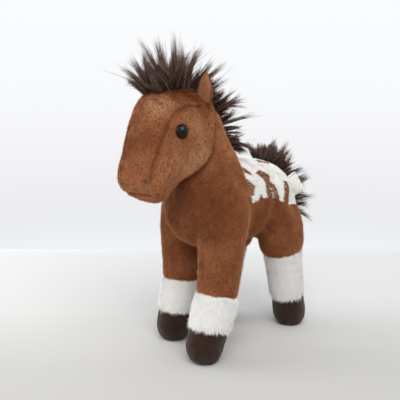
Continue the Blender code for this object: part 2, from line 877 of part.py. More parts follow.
body_clearance = soft_form("body_clearance", body_stations, ring_points, spread=seam_gap)
tail_points = []
for along, down in tail_crest_shares:
    tail_points.append(Vector((0, chest_place + along * body_length, back_height - down * body_height)))
long_fur("tail", tail_points, tail_band, tail_row_shares, tail_length, body_clearance)


# Care label, a bare satin tape folded into a loop and sewn into the rump seam

outwards = Vector(label_direction).normalized()
flat = outwards.cross(Vector((0, -outwards.z, outwards.y))).normalized()
width_way = outwards.cross(flat)
label_frame = Matrix.Translation(label_place) @ Matrix((flat, width_way, outwards)).transposed().to_4x4()
loop_thickness = 2 * label_thickness + label_fold_gap


def label_block(name, thickness, width, low, high, material=None):
    shape = bmesh.new()
    bmesh.ops.create_cube(shape, size=1.0)
    bmesh.ops.scale(shape, vec=(thickness, width, high - low), verts=shape.verts)
    bmesh.ops.translate(shape, vec=(0, 0, (high + low) / 2), verts=shape.verts)
    bmesh.ops.transform(shape, matrix=label_frame, verts=shape.verts)
    return place_mesh(name, shape, material, is_cutter=material is None)


label = label_block("care_label", loop_thickness, label_width, -label_length / 4, label_length, label_satin)
cut(label, label_block("label_fold", label_fold_gap, label_width + overrun, -label_length,
                       label_length - label_thickness), body_clearance)


# Joints: what moves hangs from an empty on its hinge

def joint(name, place, moved, carrier=None):
    """An empty at a hinge, which carries the moved pieces and stands under its own carrier."""
    pivot = bpy.data.objects.new(name, None)
    parts.objects.link(pivot)
    pivot.empty_display_size = eye_diameter
    pivot.location = place
    if carrier:
        pivot.parent = carrier
        pivot.matrix_parent_inverse = Matrix.Translation(-pivot_places[carrier.name])
    pivot_places[name] = Vector(place)
    for word in moved:
        thing = parts.objects[word]
        thing.parent = pivot
        thing.matrix_parent_inverse = Matrix.Translation(-pivot_places[name])
    return pivot


pivot_places = {}
neck_joint = joint("neck_joint", neck_top, ("neck_cover", "neck_filling", "neck_mane"))
head_pieces = ["head_left_panel", "head_right_panel", "head_gusset", "head_filling", "forelock"]
for word in ("left", "right"):
    head_pieces += [word + "_eye", word + "_eye_washer", word + "_nostril_stitch"]
head_joint = joint("head_joint", neck_top, head_pieces, neck_joint)
for side, word in ((1, "left"), (-1, "right")):
    joint(word + "_ear_joint", ear_frame(side).translation, (word + "_ear", word + "_ear_lining"), head_joint)
for leg in legs:
    joint(leg.name + "_leg_joint", leg.hip,
          [leg.name + ending for ending in ("_leg_cover", "_sock", "_hoof", "_sole", "_leg_filling")])
joint("tail_joint", tail_points[0], ["tail"])
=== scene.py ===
"""Looks of the plush foal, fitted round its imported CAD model."""
import json
import math

import bmesh
import bpy
import numpy as np
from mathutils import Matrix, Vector
from mathutils.bvhtree import BVHTree
from mathutils.kdtree import KDTree

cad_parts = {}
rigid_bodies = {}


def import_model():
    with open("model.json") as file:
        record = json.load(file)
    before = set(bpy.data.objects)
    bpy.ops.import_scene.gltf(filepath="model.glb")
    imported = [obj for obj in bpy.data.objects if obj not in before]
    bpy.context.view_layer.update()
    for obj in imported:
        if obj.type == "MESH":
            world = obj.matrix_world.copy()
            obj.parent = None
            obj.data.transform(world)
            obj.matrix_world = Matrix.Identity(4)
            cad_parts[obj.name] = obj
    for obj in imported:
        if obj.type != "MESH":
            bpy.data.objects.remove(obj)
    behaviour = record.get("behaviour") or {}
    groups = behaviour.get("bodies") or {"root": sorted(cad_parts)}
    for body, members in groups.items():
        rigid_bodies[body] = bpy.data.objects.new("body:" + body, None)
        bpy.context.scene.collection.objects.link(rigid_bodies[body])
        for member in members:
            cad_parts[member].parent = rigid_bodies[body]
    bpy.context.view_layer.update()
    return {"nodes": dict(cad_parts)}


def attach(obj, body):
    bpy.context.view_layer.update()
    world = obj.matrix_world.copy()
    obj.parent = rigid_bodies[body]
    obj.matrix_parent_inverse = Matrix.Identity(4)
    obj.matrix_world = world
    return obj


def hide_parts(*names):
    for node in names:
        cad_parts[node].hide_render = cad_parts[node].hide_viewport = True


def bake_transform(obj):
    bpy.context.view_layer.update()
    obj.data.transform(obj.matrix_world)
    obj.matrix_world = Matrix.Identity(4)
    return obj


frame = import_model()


# Camera
# The photo looks slightly down at the foal's left front, from about half a metre with a short telephoto.
camera_data = bpy.data.cameras.new("camera")
camera_data.lens = 52.47
camera_data.sensor_width = 36
camera = bpy.data.objects.new("camera", camera_data)
camera.location = (0.3914, -0.4559, 0.2363)
camera.rotation_euler = (math.pi / 2 - math.radians(9), 0, math.radians(44))
bpy.context.scene.collection.objects.link(camera)
bpy.context.scene.camera = camera
bpy.context.scene.view_settings.view_transform = "Standard"


# Stuffed figure
# The toy is sewn from panels of short-pile plush and stuffed with polyester fibre, so it is one soft form.
# Barrel, neck, head and legs are lofted, run together as the tight stuffing does, and parted into panels.
sideways = Vector((1, 0, 0))
chest_place = -0.081
body_length = 0.164
body_width = 0.088
body_height = 0.084
back_height = 0.1845
# Along the body, its top and its bottom below the back, and its half width, as shares of the sizes above.
body_rings = ((0.000, 0.300, 0.775, 0.41), (0.067, 0.100, 0.938, 0.75), (0.200, -0.050, 1.000, 0.93),
              (0.410, -0.025, 1.030, 0.965), (0.635, 0.000, 1.020, 1.00), (0.820, 0.060, 1.000, 0.93),
              (0.930, 0.260, 0.870, 0.63), (1.000, 0.450, 0.660, 0.28))

neck_top = Vector((0, -0.059, 0.214))
neck_top_radius = 0.030
neck_top_width = 0.051
neck_base_width = 0.076
neck_base_depth = 0.092
neck_length = 0.068
neck_lean = math.radians(20)
neck_up = Vector((0, -math.sin(neck_lean), math.cos(neck_lean)))
neck_forward = Vector((0, -math.cos(neck_lean), -math.sin(neck_lean)))
# Down the neck, and how far its width and its depth have grown towards the base.
neck_rings = ((0.00, 0.00, 0.00), (0.24, 0.06, 0.10), (0.47, 0.35, 0.42), (0.74, 0.70, 0.76),
              (1.00, 1.00, 1.00))

poll = Vector((0, -0.073, 0.252))
head_length = 0.106
head_depth = 0.084
head_width = 0.070
head_lean = math.radians(29)
head_down = Vector((0, -math.sin(head_lean), -math.cos(head_lean)))
face_forward = Vector((0, -math.cos(head_lean), math.sin(head_lean)))
# Down the head, the face before its axis, the nape behind it, and the half width.
head_rings = ((-0.030, -0.05, -0.44, 0.42), (0.060, 0.24, -0.50, 0.72), (0.220, 0.46, -0.58, 0.95),
              (0.420, 0.45, -0.63, 1.02), (0.600, 0.41, -0.53, 0.95), (0.770, 0.36, -0.29, 0.76),
              (0.930, 0.32, -0.26, 0.69), (1.030, 0.22, -0.18, 0.50))

hip_height = 0.139
foot_height = 0.0175
shoulder_radius = 0.027
haunch_radius = 0.029
leg_top_width = 0.041
hip_swell = 1.03
shin_diameter = 0.0385
hoof_diameter = 0.0370
leg_bow = 0.0060
# Down the leg from hip to sole, the width and the depth as shares of the shin, and the share of the bow.
front_leg_rings = ((0.22, 1.06, 1.28, 0.0), (0.46, 1.00, 1.05, 0.9), (0.64, 0.99, 1.00, 1.0),
                   (0.80, 1.00, 1.00, 0.4))
hind_leg_rings = ((0.18, 1.10, 1.58, 0.0), (0.30, 1.10, 1.42, 0.0), (0.36, 1.08, 1.32, 0.0),
                  (0.42, 0.88, 0.94, 0.0), (0.78, 0.90, 0.90, 0.0))
# Down the leg, and the width as a share of the hoof, which is nearly a ball.
hoof_rings = ((0.880, 1.02), (0.950, 0.95), (0.993, 0.72), (1.014, 0.46))
leg_hips = {"front_left": (0.0295, -0.045), "front_right": (-0.0295, -0.042),
            "hind_left": (0.0295, 0.035), "hind_right": (-0.0295, 0.040)}
# Where each foot stands, and how high its sock and its hoof reach.
leg_feet = {"front_left": (0.032, -0.077, 0.064, 0.032), "front_right": (-0.030, -0.058, 0.064, 0.032),
            "hind_left": (0.031, 0.059, 0.087, 0.036), "hind_right": (-0.034, 0.016, 0.087, 0.036)}


def ring_row(centre, across, along):
    """A ring's centre and half sizes in mm and the angle of its depth, to a tenth."""
    angle = math.degrees(math.atan2(along.z, along.y))
    sizes = (*centre, across.length, along.length)
    return [round(size * 1000, 1) for size in sizes] + [round(angle, 1)]


def dome_rows(centre, half_width, radius, up, forward):
    """The two rings that round off the top of the neck or of a leg."""
    high_share, low_share = 0.76, 0.38
    swell = 1 / (0.75 + 0.25 * math.cos(math.pi / 2 * low_share))
    rows = []
    for share in (high_share, low_share):
        angle = share * math.pi / 2
        middle = centre + up * (radius * swell * math.sin(angle))
        shrink = swell * math.cos(angle)
        rows.append(ring_row(middle, sideways * (half_width * shrink), forward * (radius * shrink)))
    return rows


def body_rows():
    rows = []
    for along, top, bottom, half in body_rings:
        high = back_height - top * body_height
        low = back_height - bottom * body_height
        centre = Vector((0, chest_place + along * body_length, (high + low) / 2))
        rows.append(ring_row(centre, sideways * (half * body_width / 2), Vector((0, 0, (high - low) / 2))))
    return rows


def neck_rows():
    rows = dome_rows(neck_top, neck_top_width / 2, neck_top_radius, neck_up, neck_forward)
    for down, wider, deeper in neck_rings:
        width = neck_top_width + (neck_base_width - neck_top_width) * wider
        depth = 2 * neck_top_radius + (neck_base_depth - 2 * neck_top_radius) * deeper
        centre = neck_top - neck_up * (down * neck_length)
        rows.append(ring_row(centre, sideways * (width / 2), neck_forward * (depth / 2)))
    return rows


def head_point(down, forward):
    """A place in the head, from shares of its length and depth."""
    return poll + head_down * (down * head_length) + face_forward * (forward * head_depth)


def head_rows():
    rows = []
    for down, face, nape, half in head_rings:
        across = sideways * (half * head_width / 2)
        along = face_forward * ((face - nape) / 2 * head_depth)
        rows.append(ring_row(head_point(down, (face + nape) / 2), across, along))
    return rows


def leg_rows(leg):
    if leg.startswith("front"):
        radius, rings = shoulder_radius, front_leg_rings
    else:
        radius, rings = haunch_radius, hind_leg_rings
    hip = Vector((*leg_hips[leg], hip_height))
    fall = hip - Vector((*leg_feet[leg][:2], foot_height))
    length = math.hypot(fall.y, fall.z)
    whole = length + foot_height
    up = Vector((0, fall.y, fall.z)) / length
    forward = Vector((0, -up.z, up.y))

    def centre(down):
        distance = down * whole
        return hip - up * distance - sideways * (fall.x * distance / length)

    rows = dome_rows(hip, leg_top_width / 2, radius, up, forward)
    rows.append(ring_row(hip, sideways * (leg_top_width / 2 * hip_swell), forward * (radius * hip_swell)))
    for down, width, depth, bow in rings:
        across = sideways * (width * shin_diameter / 2)
        along = forward * (depth * shin_diameter / 2)
        rows.append(ring_row(centre(down) - forward * (bow * leg_bow), across, along))
    for down, width in hoof_rings:
        half = width * hoof_diameter / 2
        rows.append(ring_row(centre(down), sideways * half, forward * half))
    return rows


def deselect():
    bpy.ops.object.select_all(action="DESELECT")


def sewn_form(name, rows, sides=12, tightness=0.962):
    """A closed, smoothed loft through rows of a centre, two half sizes and the angle of the second."""
    deselect()
    form = bpy.data.objects.new(name, bpy.data.meshes.new(name))
    bpy.context.scene.collection.objects.link(form)
    bpy.context.view_layer.objects.active = form
    form.select_set(True)
    bpy.ops.object.mode_set(mode="EDIT")
    swell = tightness / (2 / 3 + math.cos(2 * math.pi / sides) / 3) / 1000
    for x, y, z, width, depth, angle in rows:
        centre = (x / 1000, y / 1000, z / 1000)
        bpy.ops.mesh.select_all(action="DESELECT")
        bpy.ops.mesh.primitive_circle_add(vertices=sides, radius=swell, location=centre,
                                          rotation=(math.radians(angle), 0, 0))
        bpy.ops.transform.resize(value=(width, depth, depth), center_override=centre)
    bpy.ops.mesh.select_all(action="SELECT")
    bpy.ops.mesh.bridge_edge_loops(use_merge=False)
    bpy.ops.mesh.select_all(action="DESELECT")
    bpy.ops.mesh.select_mode(type="EDGE")
    bpy.ops.mesh.select_non_manifold()
    bpy.ops.mesh.fill_holes(sides=0)
    bpy.ops.mesh.select_all(action="SELECT")
    bpy.ops.mesh.normals_make_consistent(inside=False)
    bpy.ops.object.mode_set(mode="OBJECT")
    soft = form.modifiers.new("soft", "SUBSURF")
    soft.levels = soft.render_levels = 3
    bpy.ops.object.modifier_apply(modifier="soft")
    return form


def points_of(thing):
    co = np.empty(len(thing.data.vertices) * 3)
    thing.data.vertices.foreach_get("co", co)
    return co.reshape(-1, 3)


def normals_of(thing):
    out = np.empty(len(thing.data.vertices) * 3, np.float32)
    thing.data.vertex_normals.foreach_get("vector", out)
    return out.reshape(-1, 3).astype(float)


def move_points(thing, co):
    thing.data.vertices.foreach_set("co", co.ravel())
    thing.data.update()


forms = {"body": sewn_form("body_form", body_rows()), "neck": sewn_form("neck_form", neck_rows()),
         "head": sewn_form("head_form", head_rows())}
for leg in leg_feet:
    forms[leg] = sewn_form(leg + "_form", leg_rows(leg))
form_names = list(forms)
form_trees = {}
for word, form in forms.items():
    form_trees[word] = BVHTree.FromPolygons([v.co[:] for v in form.data.vertices],
                                            [p.vertices[:] for p in form.data.polygons])

deselect()
for form in forms.values():
    form.select_set(True)
bpy.context.view_layer.objects.active = forms["body"]
bpy.ops.object.join()
figure = bpy.context.view_layer.objects.active
figure.name = "figure"
skin = figure.modifiers.new("skin", "REMESH")
skin.mode = "VOXEL"
skin.voxel_size = 0.0018
bpy.ops.object.modifier_apply(modifier="skin")


def form_distances(co):
    """How far each point lies from each form's surface."""
    out = np.empty((len(co), len(form_names)))
    for column, word in enumerate(form_names):
        tree = form_trees[word]
        out[:, column] = [tree.find_nearest(Vector(p))[3] for p in co]
    return out


# Where two forms meet, the stuffing rounds the corner off: widely on the outer flanks and the chest, less
# between the legs, and hardly at the jaw, which stands in front of the neck.
co = points_of(figure)
away = form_distances(co)
order = np.argsort(away, axis=1)
near = np.take_along_axis(away, order, axis=1)
closeness = np.exp(-((near[:, 1] - near[:, 0]) / 0.0085) ** 2)
jaw = np.any(order[:, :2] == form_names.index("head"), axis=1)
haunch = np.any(order[:, :2] >= form_names.index("hind_left"), axis=1) & (co[:, 2] < 0.150)
outer = 1 / (1 + np.exp(-(np.abs(co[:, 0]) - 0.018) / 0.004))
chest = 1 / (1 + np.exp((co[:, 1] + 0.072) / 0.004)) * (co[:, 2] > 0.10)
share = closeness * np.where(jaw, 0.16, np.clip(outer * np.where(haunch, 0.30, 1) + 0.22 + 0.4 * chest, 0, 1))
group = figure.vertex_groups.new(name="rounding")
for index, value in enumerate(share):
    group.add([index], float(value), "REPLACE")
for name, factor, times, where in (("melt", 0.9, 60, "rounding"), ("even", 0.5, 3, "")):
    rounding = figure.modifiers.new(name, "SMOOTH")
    rounding.factor = factor
    rounding.iterations = times
    rounding.vertex_group = where
    bpy.ops.object.modifier_apply(modifier=name)
co = points_of(figure)
co[:, 2] = np.maximum(co[:, 2], 0)
move_points(figure, co)


# Panels
# The skin is cut into panels along its sewn lines: side panels and gusset on the head, white blanket on the
# rump, and on each leg a brown cover, a white sock, a suede hoof and a sole.
gusset_top_width = 0.062
gusset_nose_width = 0.034
# In mm, the blanket's front edge as a place along the body at each height, and its low edge as a height at
# each place.
blanket_front = ((140, -20), (155, -22), (165, -21.5), (175, -20), (185, -17))
blanket_edge = ((-30, 146), (-17.6, 146), (-4, 148.6), (8, 148.6), (14, 147), (20, 143.6), (30, 141),
                (38, 136.7), (50, 136), (70, 134), (100, 136))
leg_top = 0.118
panels = ["body_cover", "rump_blanket", "neck_cover", "head_left_panel", "head_right_panel", "head_gusset"]
for leg in leg_feet:
    panels += [leg + "_leg_cover", leg + "_sock", leg + "_hoof", leg + "_sole"]


def past(co, place, way):
    """How far each point lies past a place, along a way."""
    return (co - np.array(place)) @ np.array(way)


def leg_height(co, leg):
    """Height up the standing leg, along its lean."""
    foot_x, foot_y, _, _ = leg_feet[leg]
    hip_x, hip_y = leg_hips[leg]
    lean = np.array((hip_x - foot_x, hip_y - foot_y, hip_height - foot_height))
    lean /= np.linalg.norm(lean)
    return past(co, (foot_x, foot_y, foot_height), lean) + foot_height


def off_gusset(co):
    """How far a point lies outside the strip between the two face seams."""
    down = past(co, poll, head_down) + 0.030
    width = gusset_top_width + (gusset_nose_width - gusset_top_width) * down / 0.166
    return np.abs(co[:, 0]) - width / 2


def off_blanket(co):
    """How far a point lies outside the blanket, below nought inside."""
    front = np.interp(co[:, 2] * 1000, *zip(*blanket_front)) / 1000 - co[:, 1]
    edge = np.interp(co[:, 1] * 1000, *zip(*blanket_edge)) / 1000 - co[:, 2]
    return np.maximum(front, edge)


polygons = figure.data.polygons
middle = np.empty(len(polygons) * 3)
polygons.foreach_get("center", middle)
middle = middle.reshape(-1, 3)
facing = np.empty(len(polygons) * 3)
polygons.foreach_get("normal", facing)
facing = facing.reshape(-1, 3)
nearest = np.argmin(form_distances(middle), axis=1)
panel = np.zeros(len(middle), int)
panel[off_blanket(middle) < 0] = panels.index("rump_blanket")
is_neck = (nearest == form_names.index("neck")) & (past(middle, neck_top, neck_up) > -0.037)
panel[is_neck] = panels.index("neck_cover")
is_head = nearest == form_names.index("head")
before_axis = past(middle, poll, face_forward) > 0
panel[is_head & (middle[:, 0] > 0)] = panels.index("head_left_panel")
panel[is_head & (middle[:, 0] <= 0)] = panels.index("head_right_panel")
panel[is_head & before_axis & (off_gusset(middle) < 0)] = panels.index("head_gusset")
for leg, (_, _, sock_top, hoof_top) in leg_feet.items():
    is_leg = (nearest == form_names.index(leg)) & (middle[:, 2] < leg_top)
    height = leg_height(middle, leg)
    panel[is_leg] = panels.index(leg + "_leg_cover")
    panel[is_leg & (height < sock_top)] = panels.index(leg + "_sock")
    panel[is_leg & (height < hoof_top)] = panels.index(leg + "_hoof")
    panel[is_leg & (middle[:, 2] < 0.0012) & (facing[:, 2] < -0.8)] = panels.index(leg + "_sole")

# The cut lines are drawn straight by moving the points on them, and the sewn ones pull the cloth in.
shape = bmesh.new()
shape.from_mesh(figure.data)
shape.faces.ensure_lookup_table()
borders = {}
for edge in shape.edges:
    if len(edge.link_faces) == 2:
        one, two = sorted(panel[face.index] for face in edge.link_faces)
        if one != two:
            borders.setdefault((one, two), set()).update(v.index for v in edge.verts)
shape.free()
co = points_of(figure)
normals = normals_of(figure)
nearest = np.argmin(form_distances(co), axis=1)
# The socks are stuffed a little fuller than the legs above them.
for leg, (_, _, sock_top, hoof_top) in leg_feet.items():
    up = np.clip((leg_height(co, leg) - hoof_top) / (sock_top - hoof_top), 0, 1)
    in_sock = (nearest == form_names.index(leg)) & (co[:, 2] < 0.085) & (up > 0) & (up < 1)
    puff = 0.0011 * np.sin(math.pi * np.clip(up * 0.9 + 0.1, 0, 1))
    co += normals * (in_sock * puff)[:, None]
# The stuffing's own hollows and swells: the croup slopes in below the blanket's rear, the jaw is full, the
# stifle folds. Each is a place on the left side, how far it reaches and how much it rises, in mm; the right
# side has it too.
swells = ((45, 46, 140, 17, -9.5), (7, -84, 122, 14, -4.5), (25, -58, 187, 13, 3.6), (33, -12, 118, 10, -2.4),
          (8, -139, 180, 14, 1.2), (30, 52, 92, 14, 2.6), (46, 30, 112, 14, 2.4), (42, 15, 145, 5, -1.6),
          (42.5, 13.6, 138, 5, -2), (41.5, 12.7, 130, 5, -2.2), (39, 11.3, 123, 5, -2.4),
          (34.7, 10.4, 115, 5, -2.6), (28, 11, 108.7, 5, -2.2), (41, 0, 128, 9, 1.6))
for x, y, z, size, lift in swells:
    for side in (1, -1):
        gap = np.linalg.norm(co - np.array((side * x, y, z)) / 1000, axis=1)
        co += normals * (lift / 1000 * np.exp(-(gap / (size / 1000)) ** 2))[:, None]


def settle(index, off):
    """Moves points across the surface until off is nought at them."""
    step = 1e-4
    for _ in range(3):
        here = co[index]
        value = off(here)
        slope = np.stack([(off(here + step * axis) - value) / step for axis in np.eye(3)], axis=1)
        slope -= np.sum(slope * normals[index], axis=1, keepdims=True) * normals[index]
        size = np.maximum(np.sum(slope * slope, axis=1), 0.1)
        co[index] += -np.clip(value / size, -0.0012, 0.0012)[:, None] * slope


# A sewn line is its points and how deep it is pulled in. edges_only lists the lines that don't catch the nap.
sewn_lines = []
edges_only = []
for (one, two), index in borders.items():
    index = np.array(sorted(index))
    pair = {panels[one], panels[two]}
    depth = 0.0
    if "head_gusset" in pair and pair != {"head_gusset", "neck_cover"}:
        settle(index, off_gusset)
        depth = 0.0021
    elif pair == {"body_cover", "rump_blanket"}:
        settle(index, off_blanket)
        depth = 0.0005
    elif "neck_cover" in pair and pair & {"head_left_panel", "head_right_panel"}:
        depth = 0.0016
    elif pair == {"head_left_panel", "head_right_panel"}:
        settle(index, lambda co: co[:, 0])
        depth = 0.0008
    for leg, (_, _, sock_top, hoof_top) in leg_feet.items():
        if pair == {leg + "_leg_cover", leg + "_sock"}:
            settle(index, lambda co: leg_height(co, leg) - sock_top)
            depth = 0.0008
        elif pair == {leg + "_sock", leg + "_hoof"}:
            settle(index, lambda co: leg_height(co, leg) - hoof_top)
            depth = 0.0009
    if depth:
        # The seams run out shallow under the nose.
        under = (co[index, 2] < 0.174) & (co[index, 1] < -0.115)
        for found, pulled in ((index[~under], depth), (index[under], 0.3 * depth)):
            sewn_lines.append((co[found].copy(), pulled))
            if pulled < 0.0010:
                edges_only.append(len(sewn_lines) - 1)


# Each front leg's cover closes in a seam down its front, which the nap hides. The mouth is a pulled-in fold.
skin_tree = BVHTree.FromPolygons([Vector(p) for p in co], [p.vertices[:] for p in figure.data.polygons])
before_leg = 0.055
for leg in ("front_left", "front_right"):
    foot_x, foot_y, sock_top, _ = leg_feet[leg]
    hip_x, hip_y = leg_hips[leg]
    line = []
    for z in np.arange(sock_top + 0.001, 0.112, 0.001):
        up = (z - foot_height) / (hip_height - foot_height)
        start = Vector((foot_x + (hip_x - foot_x) * up, foot_y + (hip_y - foot_y) * up - before_leg, z))
        hit = skin_tree.ray_cast(start, Vector((0, 1, 0)))[0]
        if hit and hit.y - start.y < 0.050:
            line.append(hit[:])
    edges_only.append(len(sewn_lines))
    sewn_lines.append((np.array(line), 0.0011))
mouth = []
for turn in np.linspace(-0.6, 0.6, 31):
    start = Vector((0, -0.112, 0.1668 - 0.004 * turn * turn))
    hit = skin_tree.ray_cast(start, Vector((math.sin(turn * 1.25), -math.cos(turn * 1.25), -0.12)))[0]
    if hit:
        mouth.append(hit[:])
sewn_lines.append((np.array(mouth), 0.0004))


def pull_in(lines, width):
    """Pulls the skin in along lines of points, each with its own depth."""
    total = sum(len(points) for points, _ in lines)
    tree = KDTree(total)
    depths = []
    for points, depth in lines:
        for point in points:
            tree.insert(point, len(depths))
            depths.append(depth)
    tree.balance()
    for index, place in enumerate(co):
        _, found, distance = tree.find(place)
        if distance < 3 * width:
            co[index] -= normals[index] * depths[found] * math.exp(-(distance / width) ** 2)


pull_in(sewn_lines, 0.0023)
co[:, 2] = np.maximum(co[:, 2], 0)
move_points(figure, co)
# Along the head's seams and the mouth the nap is caught in the stitches: it is shorter there, with painted
# shade in the seam's crease. Elsewhere it hides its seam.
caught = np.concatenate([points for index, (points, _) in enumerate(sewn_lines) if index not in edges_only])
caught_tree = KDTree(len(caught))
for index, point in enumerate(caught):
    caught_tree.insert(point, index)
caught_tree.balance()


def part_skin(thing, words, numbers):
    """Cuts a skin into a piece for each word. numbers says which word each face belongs to."""
    for word in words:
        thing.data.materials.append(bpy.data.materials.new(word))
    thing.data.polygons.foreach_set("material_index", numbers)
    deselect()
    thing.select_set(True)
    bpy.context.view_layer.objects.active = thing
    bpy.ops.object.shade_smooth()
    bpy.ops.object.mode_set(mode="EDIT")
    bpy.ops.mesh.select_all(action="SELECT")
    bpy.ops.mesh.separate(type="MATERIAL")
    bpy.ops.object.mode_set(mode="OBJECT")
    pieces = {}
    for piece in list(bpy.context.selected_objects):
        word = piece.data.materials[0].name
        piece.name = piece.data.name = word + "_skin"
        piece.vertex_groups.clear()
        piece.data.materials.clear()
        pieces[word] = piece
    for word in words:
        bpy.data.materials.remove(bpy.data.materials[word])
    return pieces


cloth = part_skin(figure, panels, panel)


# Body cover
# Brown short-pile plush: knitted polyester with a brushed nap about 3 mm long that lies back and down.
def linear(text):
    """A colour from its sRGB hex value."""
    values = [int(text[place:place + 2], 16) / 255 for place in (0, 2, 4)]
    return [v / 12.92 if v <= 0.04045 else ((v + 0.055) / 1.055) ** 2.4 for v in values] + [1.0]


def finish(name, roughness, sheen=0.0, specular=0.3, tint="ffffff"):
    """A material with its shader's fixed values."""
    material = bpy.data.materials.new(name)
    material.use_nodes = True
    shader = material.node_tree.nodes["Principled BSDF"]
    shader.inputs["Roughness"].default_value = roughness
    shader.inputs["Sheen Weight"].default_value = sheen
    shader.inputs["Sheen Roughness"].default_value = 0.5
    shader.inputs["Sheen Tint"].default_value = linear(tint)
    shader.inputs["Specular IOR Level"].default_value = specular
    return material


def add_node(material, kind, inputs=(), stops=(), **settings):
    """Adds a node; an input is given a value or another node's output."""
    made = material.node_tree.nodes.new(kind)
    for key, value in settings.items():
        setattr(made, key, value)
    for place, (position, colour) in enumerate(stops):
        steps = made.color_ramp.elements
        step = steps[place] if place < len(steps) else steps.new(position)
        step.position = position
        step.color = linear(colour)
    for key, value in dict(inputs).items():
        if isinstance(value, bpy.types.NodeSocket):
            material.node_tree.links.new(value, made.inputs[key])
        else:
            made.inputs[key].default_value = value
    return made


def paint(material, colour, bump=None):
    shader = material.node_tree.nodes["Principled BSDF"]
    material.node_tree.links.new(colour, shader.inputs["Base Color"])
    if bump:
        material.node_tree.links.new(bump, shader.inputs["Normal"])


def plush_ground(name, dark, light):
    """The knitted ground of a plush, seen as soft dark specks between the fibres."""
    material = finish(name, 0.95, sheen=0.1, specular=0.05, tint=light)
    place = add_node(material, "ShaderNodeTexCoord").outputs["Object"]
    # Fibre bundles of about 1 mm, patches of brushed nap of about 7 mm.
    fine = add_node(material, "ShaderNodeTexNoise", {"Vector": place, "Scale": 900, "Detail": 3})
    broad = add_node(material, "ShaderNodeTexNoise", {"Vector": place, "Scale": 140, "Detail": 2})
    both = add_node(material, "ShaderNodeMath", {0: fine.outputs["Fac"], 1: broad.outputs["Fac"]},
                    operation="MULTIPLY")
    colour = add_node(material, "ShaderNodeValToRGB", {"Fac": both.outputs[0]}, [(0.12, dark), (0.42, light)])
    bump = add_node(material, "ShaderNodeBump", {"Height": fine.outputs["Fac"], "Strength": 0.6,
                                                 "Distance": 0.0006})
    paint(material, colour.outputs["Color"], bump.outputs["Normal"])
    return material


def pile_finish(name, stops, root="bdb2aa", tint="f0b084", sheen=0.9):
    """Nap fibres: tone runs across the map; painted shade darkens them towards the root, to the colour root.
    """
    material = finish(name, 0.85, sheen=sheen, specular=0.06, tint=tint)
    map_place = add_node(material, "ShaderNodeUVMap", uv_map="OFBake").outputs["UV"]
    apart = add_node(material, "ShaderNodeSeparateXYZ", {"Vector": map_place})
    tone = add_node(material, "ShaderNodeValToRGB", {"Fac": apart.outputs["X"]}, stops)
    # Painted shade: each fibre is darkened towards its root, down to the colour root, where the fibres shade
    # each other.
    depth = add_node(material, "ShaderNodeValToRGB", {"Fac": apart.outputs["Y"]},
                     [(0.0, root), (0.75, "ffffff")])
    # The Mix node's colour inputs are its sixth and seventh, and its colour output is its second.
    shaded = add_node(material, "ShaderNodeMix",
                      {"Factor": 1.0, 6: tone.outputs["Color"], 7: depth.outputs["Color"]},
                      data_type="RGBA", blend_type="MULTIPLY")
    paint(material, shaded.outputs[2])
    return material


def wander(co, size, seed):
    """Smooth random values from -1 to 1 that change over the size, the same on every run."""
    side = 32
    lattice = np.random.default_rng(seed).uniform(-1, 1, (side, side, side))
    cell = np.floor(co / size).astype(int)
    part = co / size - cell
    part = part * part * (3 - 2 * part)
    out = np.zeros(len(co))
    for x in (0, 1):
        for y in (0, 1):
            for z in (0, 1):
                weight = (np.where(x, part[:, 0], 1 - part[:, 0]) * np.where(y, part[:, 1], 1 - part[:, 1])
                          * np.where(z, part[:, 2], 1 - part[:, 2]))
                corner = (cell + (x, y, z)) % side
                out += weight * lattice[corner[:, 0], corner[:, 1], corner[:, 2]]
    return out


def unit(vectors):
    return vectors / np.maximum(np.linalg.norm(vectors, axis=1, keepdims=True), 1e-9)


def scatter(thing, per_mm2, rng):
    """Random places on a skin, with its normals there."""
    mesh = thing.data
    mesh.calc_loop_triangles()
    corners = np.empty(len(mesh.loop_triangles) * 3, int)
    mesh.loop_triangles.foreach_get("vertices", corners)
    corners = corners.reshape(-1, 3)
    co = points_of(thing)
    normals = normals_of(thing)
    a, b, c = (co[corners[:, k]] for k in range(3))
    area = np.linalg.norm(np.cross(b - a, c - a), axis=1) / 2
    count = int(area.sum() * 1e6 * per_mm2)
    pick = rng.choice(len(area), count, p=area / area.sum())
    u, v = rng.random(count), rng.random(count)
    over = u + v > 1
    u[over], v[over] = 1 - u[over], 1 - v[over]
    share = np.stack([1 - u - v, u, v], axis=1)
    places = sum(share[:, k:k + 1] * co[corners[pick, k]] for k in range(3))
    facing = unit(sum(share[:, k:k + 1] * normals[corners[pick, k]] for k in range(3)))
    return places, facing


def fibre_mesh(name, rows, tones, heights, facing, material, faces=((0, 1, 2, 3),)):
    """Thin leaves. rows is fibres x points x 3, and faces says which points each face of a leaf joins."""
    count, corners = rows.shape[:2]
    loop = np.concatenate([np.array(face) for face in faces])
    starts = np.concatenate([[0], np.cumsum([len(face) for face in faces])[:-1]])
    mesh = bpy.data.meshes.new(name)
    mesh.vertices.add(count * corners)
    mesh.vertices.foreach_set("co", rows.ravel())
    mesh.loops.add(count * len(loop))
    mesh.loops.foreach_set("vertex_index", (np.arange(count)[:, None] * corners + loop).ravel())
    mesh.polygons.add(count * len(faces))
    mesh.polygons.foreach_set("loop_start", (np.arange(count)[:, None] * len(loop) + starts).ravel())
    mesh.update(calc_edges=True)
    layer = mesh.uv_layers.new(name="OFBake")
    spread = np.stack([np.repeat(tones, len(loop)), np.tile(np.array(heights)[loop], count)], axis=1)
    layer.data.foreach_set("uv", spread.astype(np.float32).ravel())
    mesh.polygons.foreach_set("use_smooth", np.ones(count * len(faces), bool))
    mesh.normals_split_custom_set_from_vertices(np.repeat(facing, corners, axis=0))
    mesh.materials.append(material)
    piece = bpy.data.objects.new(name, mesh)
    bpy.context.scene.collection.objects.link(piece)
    return piece


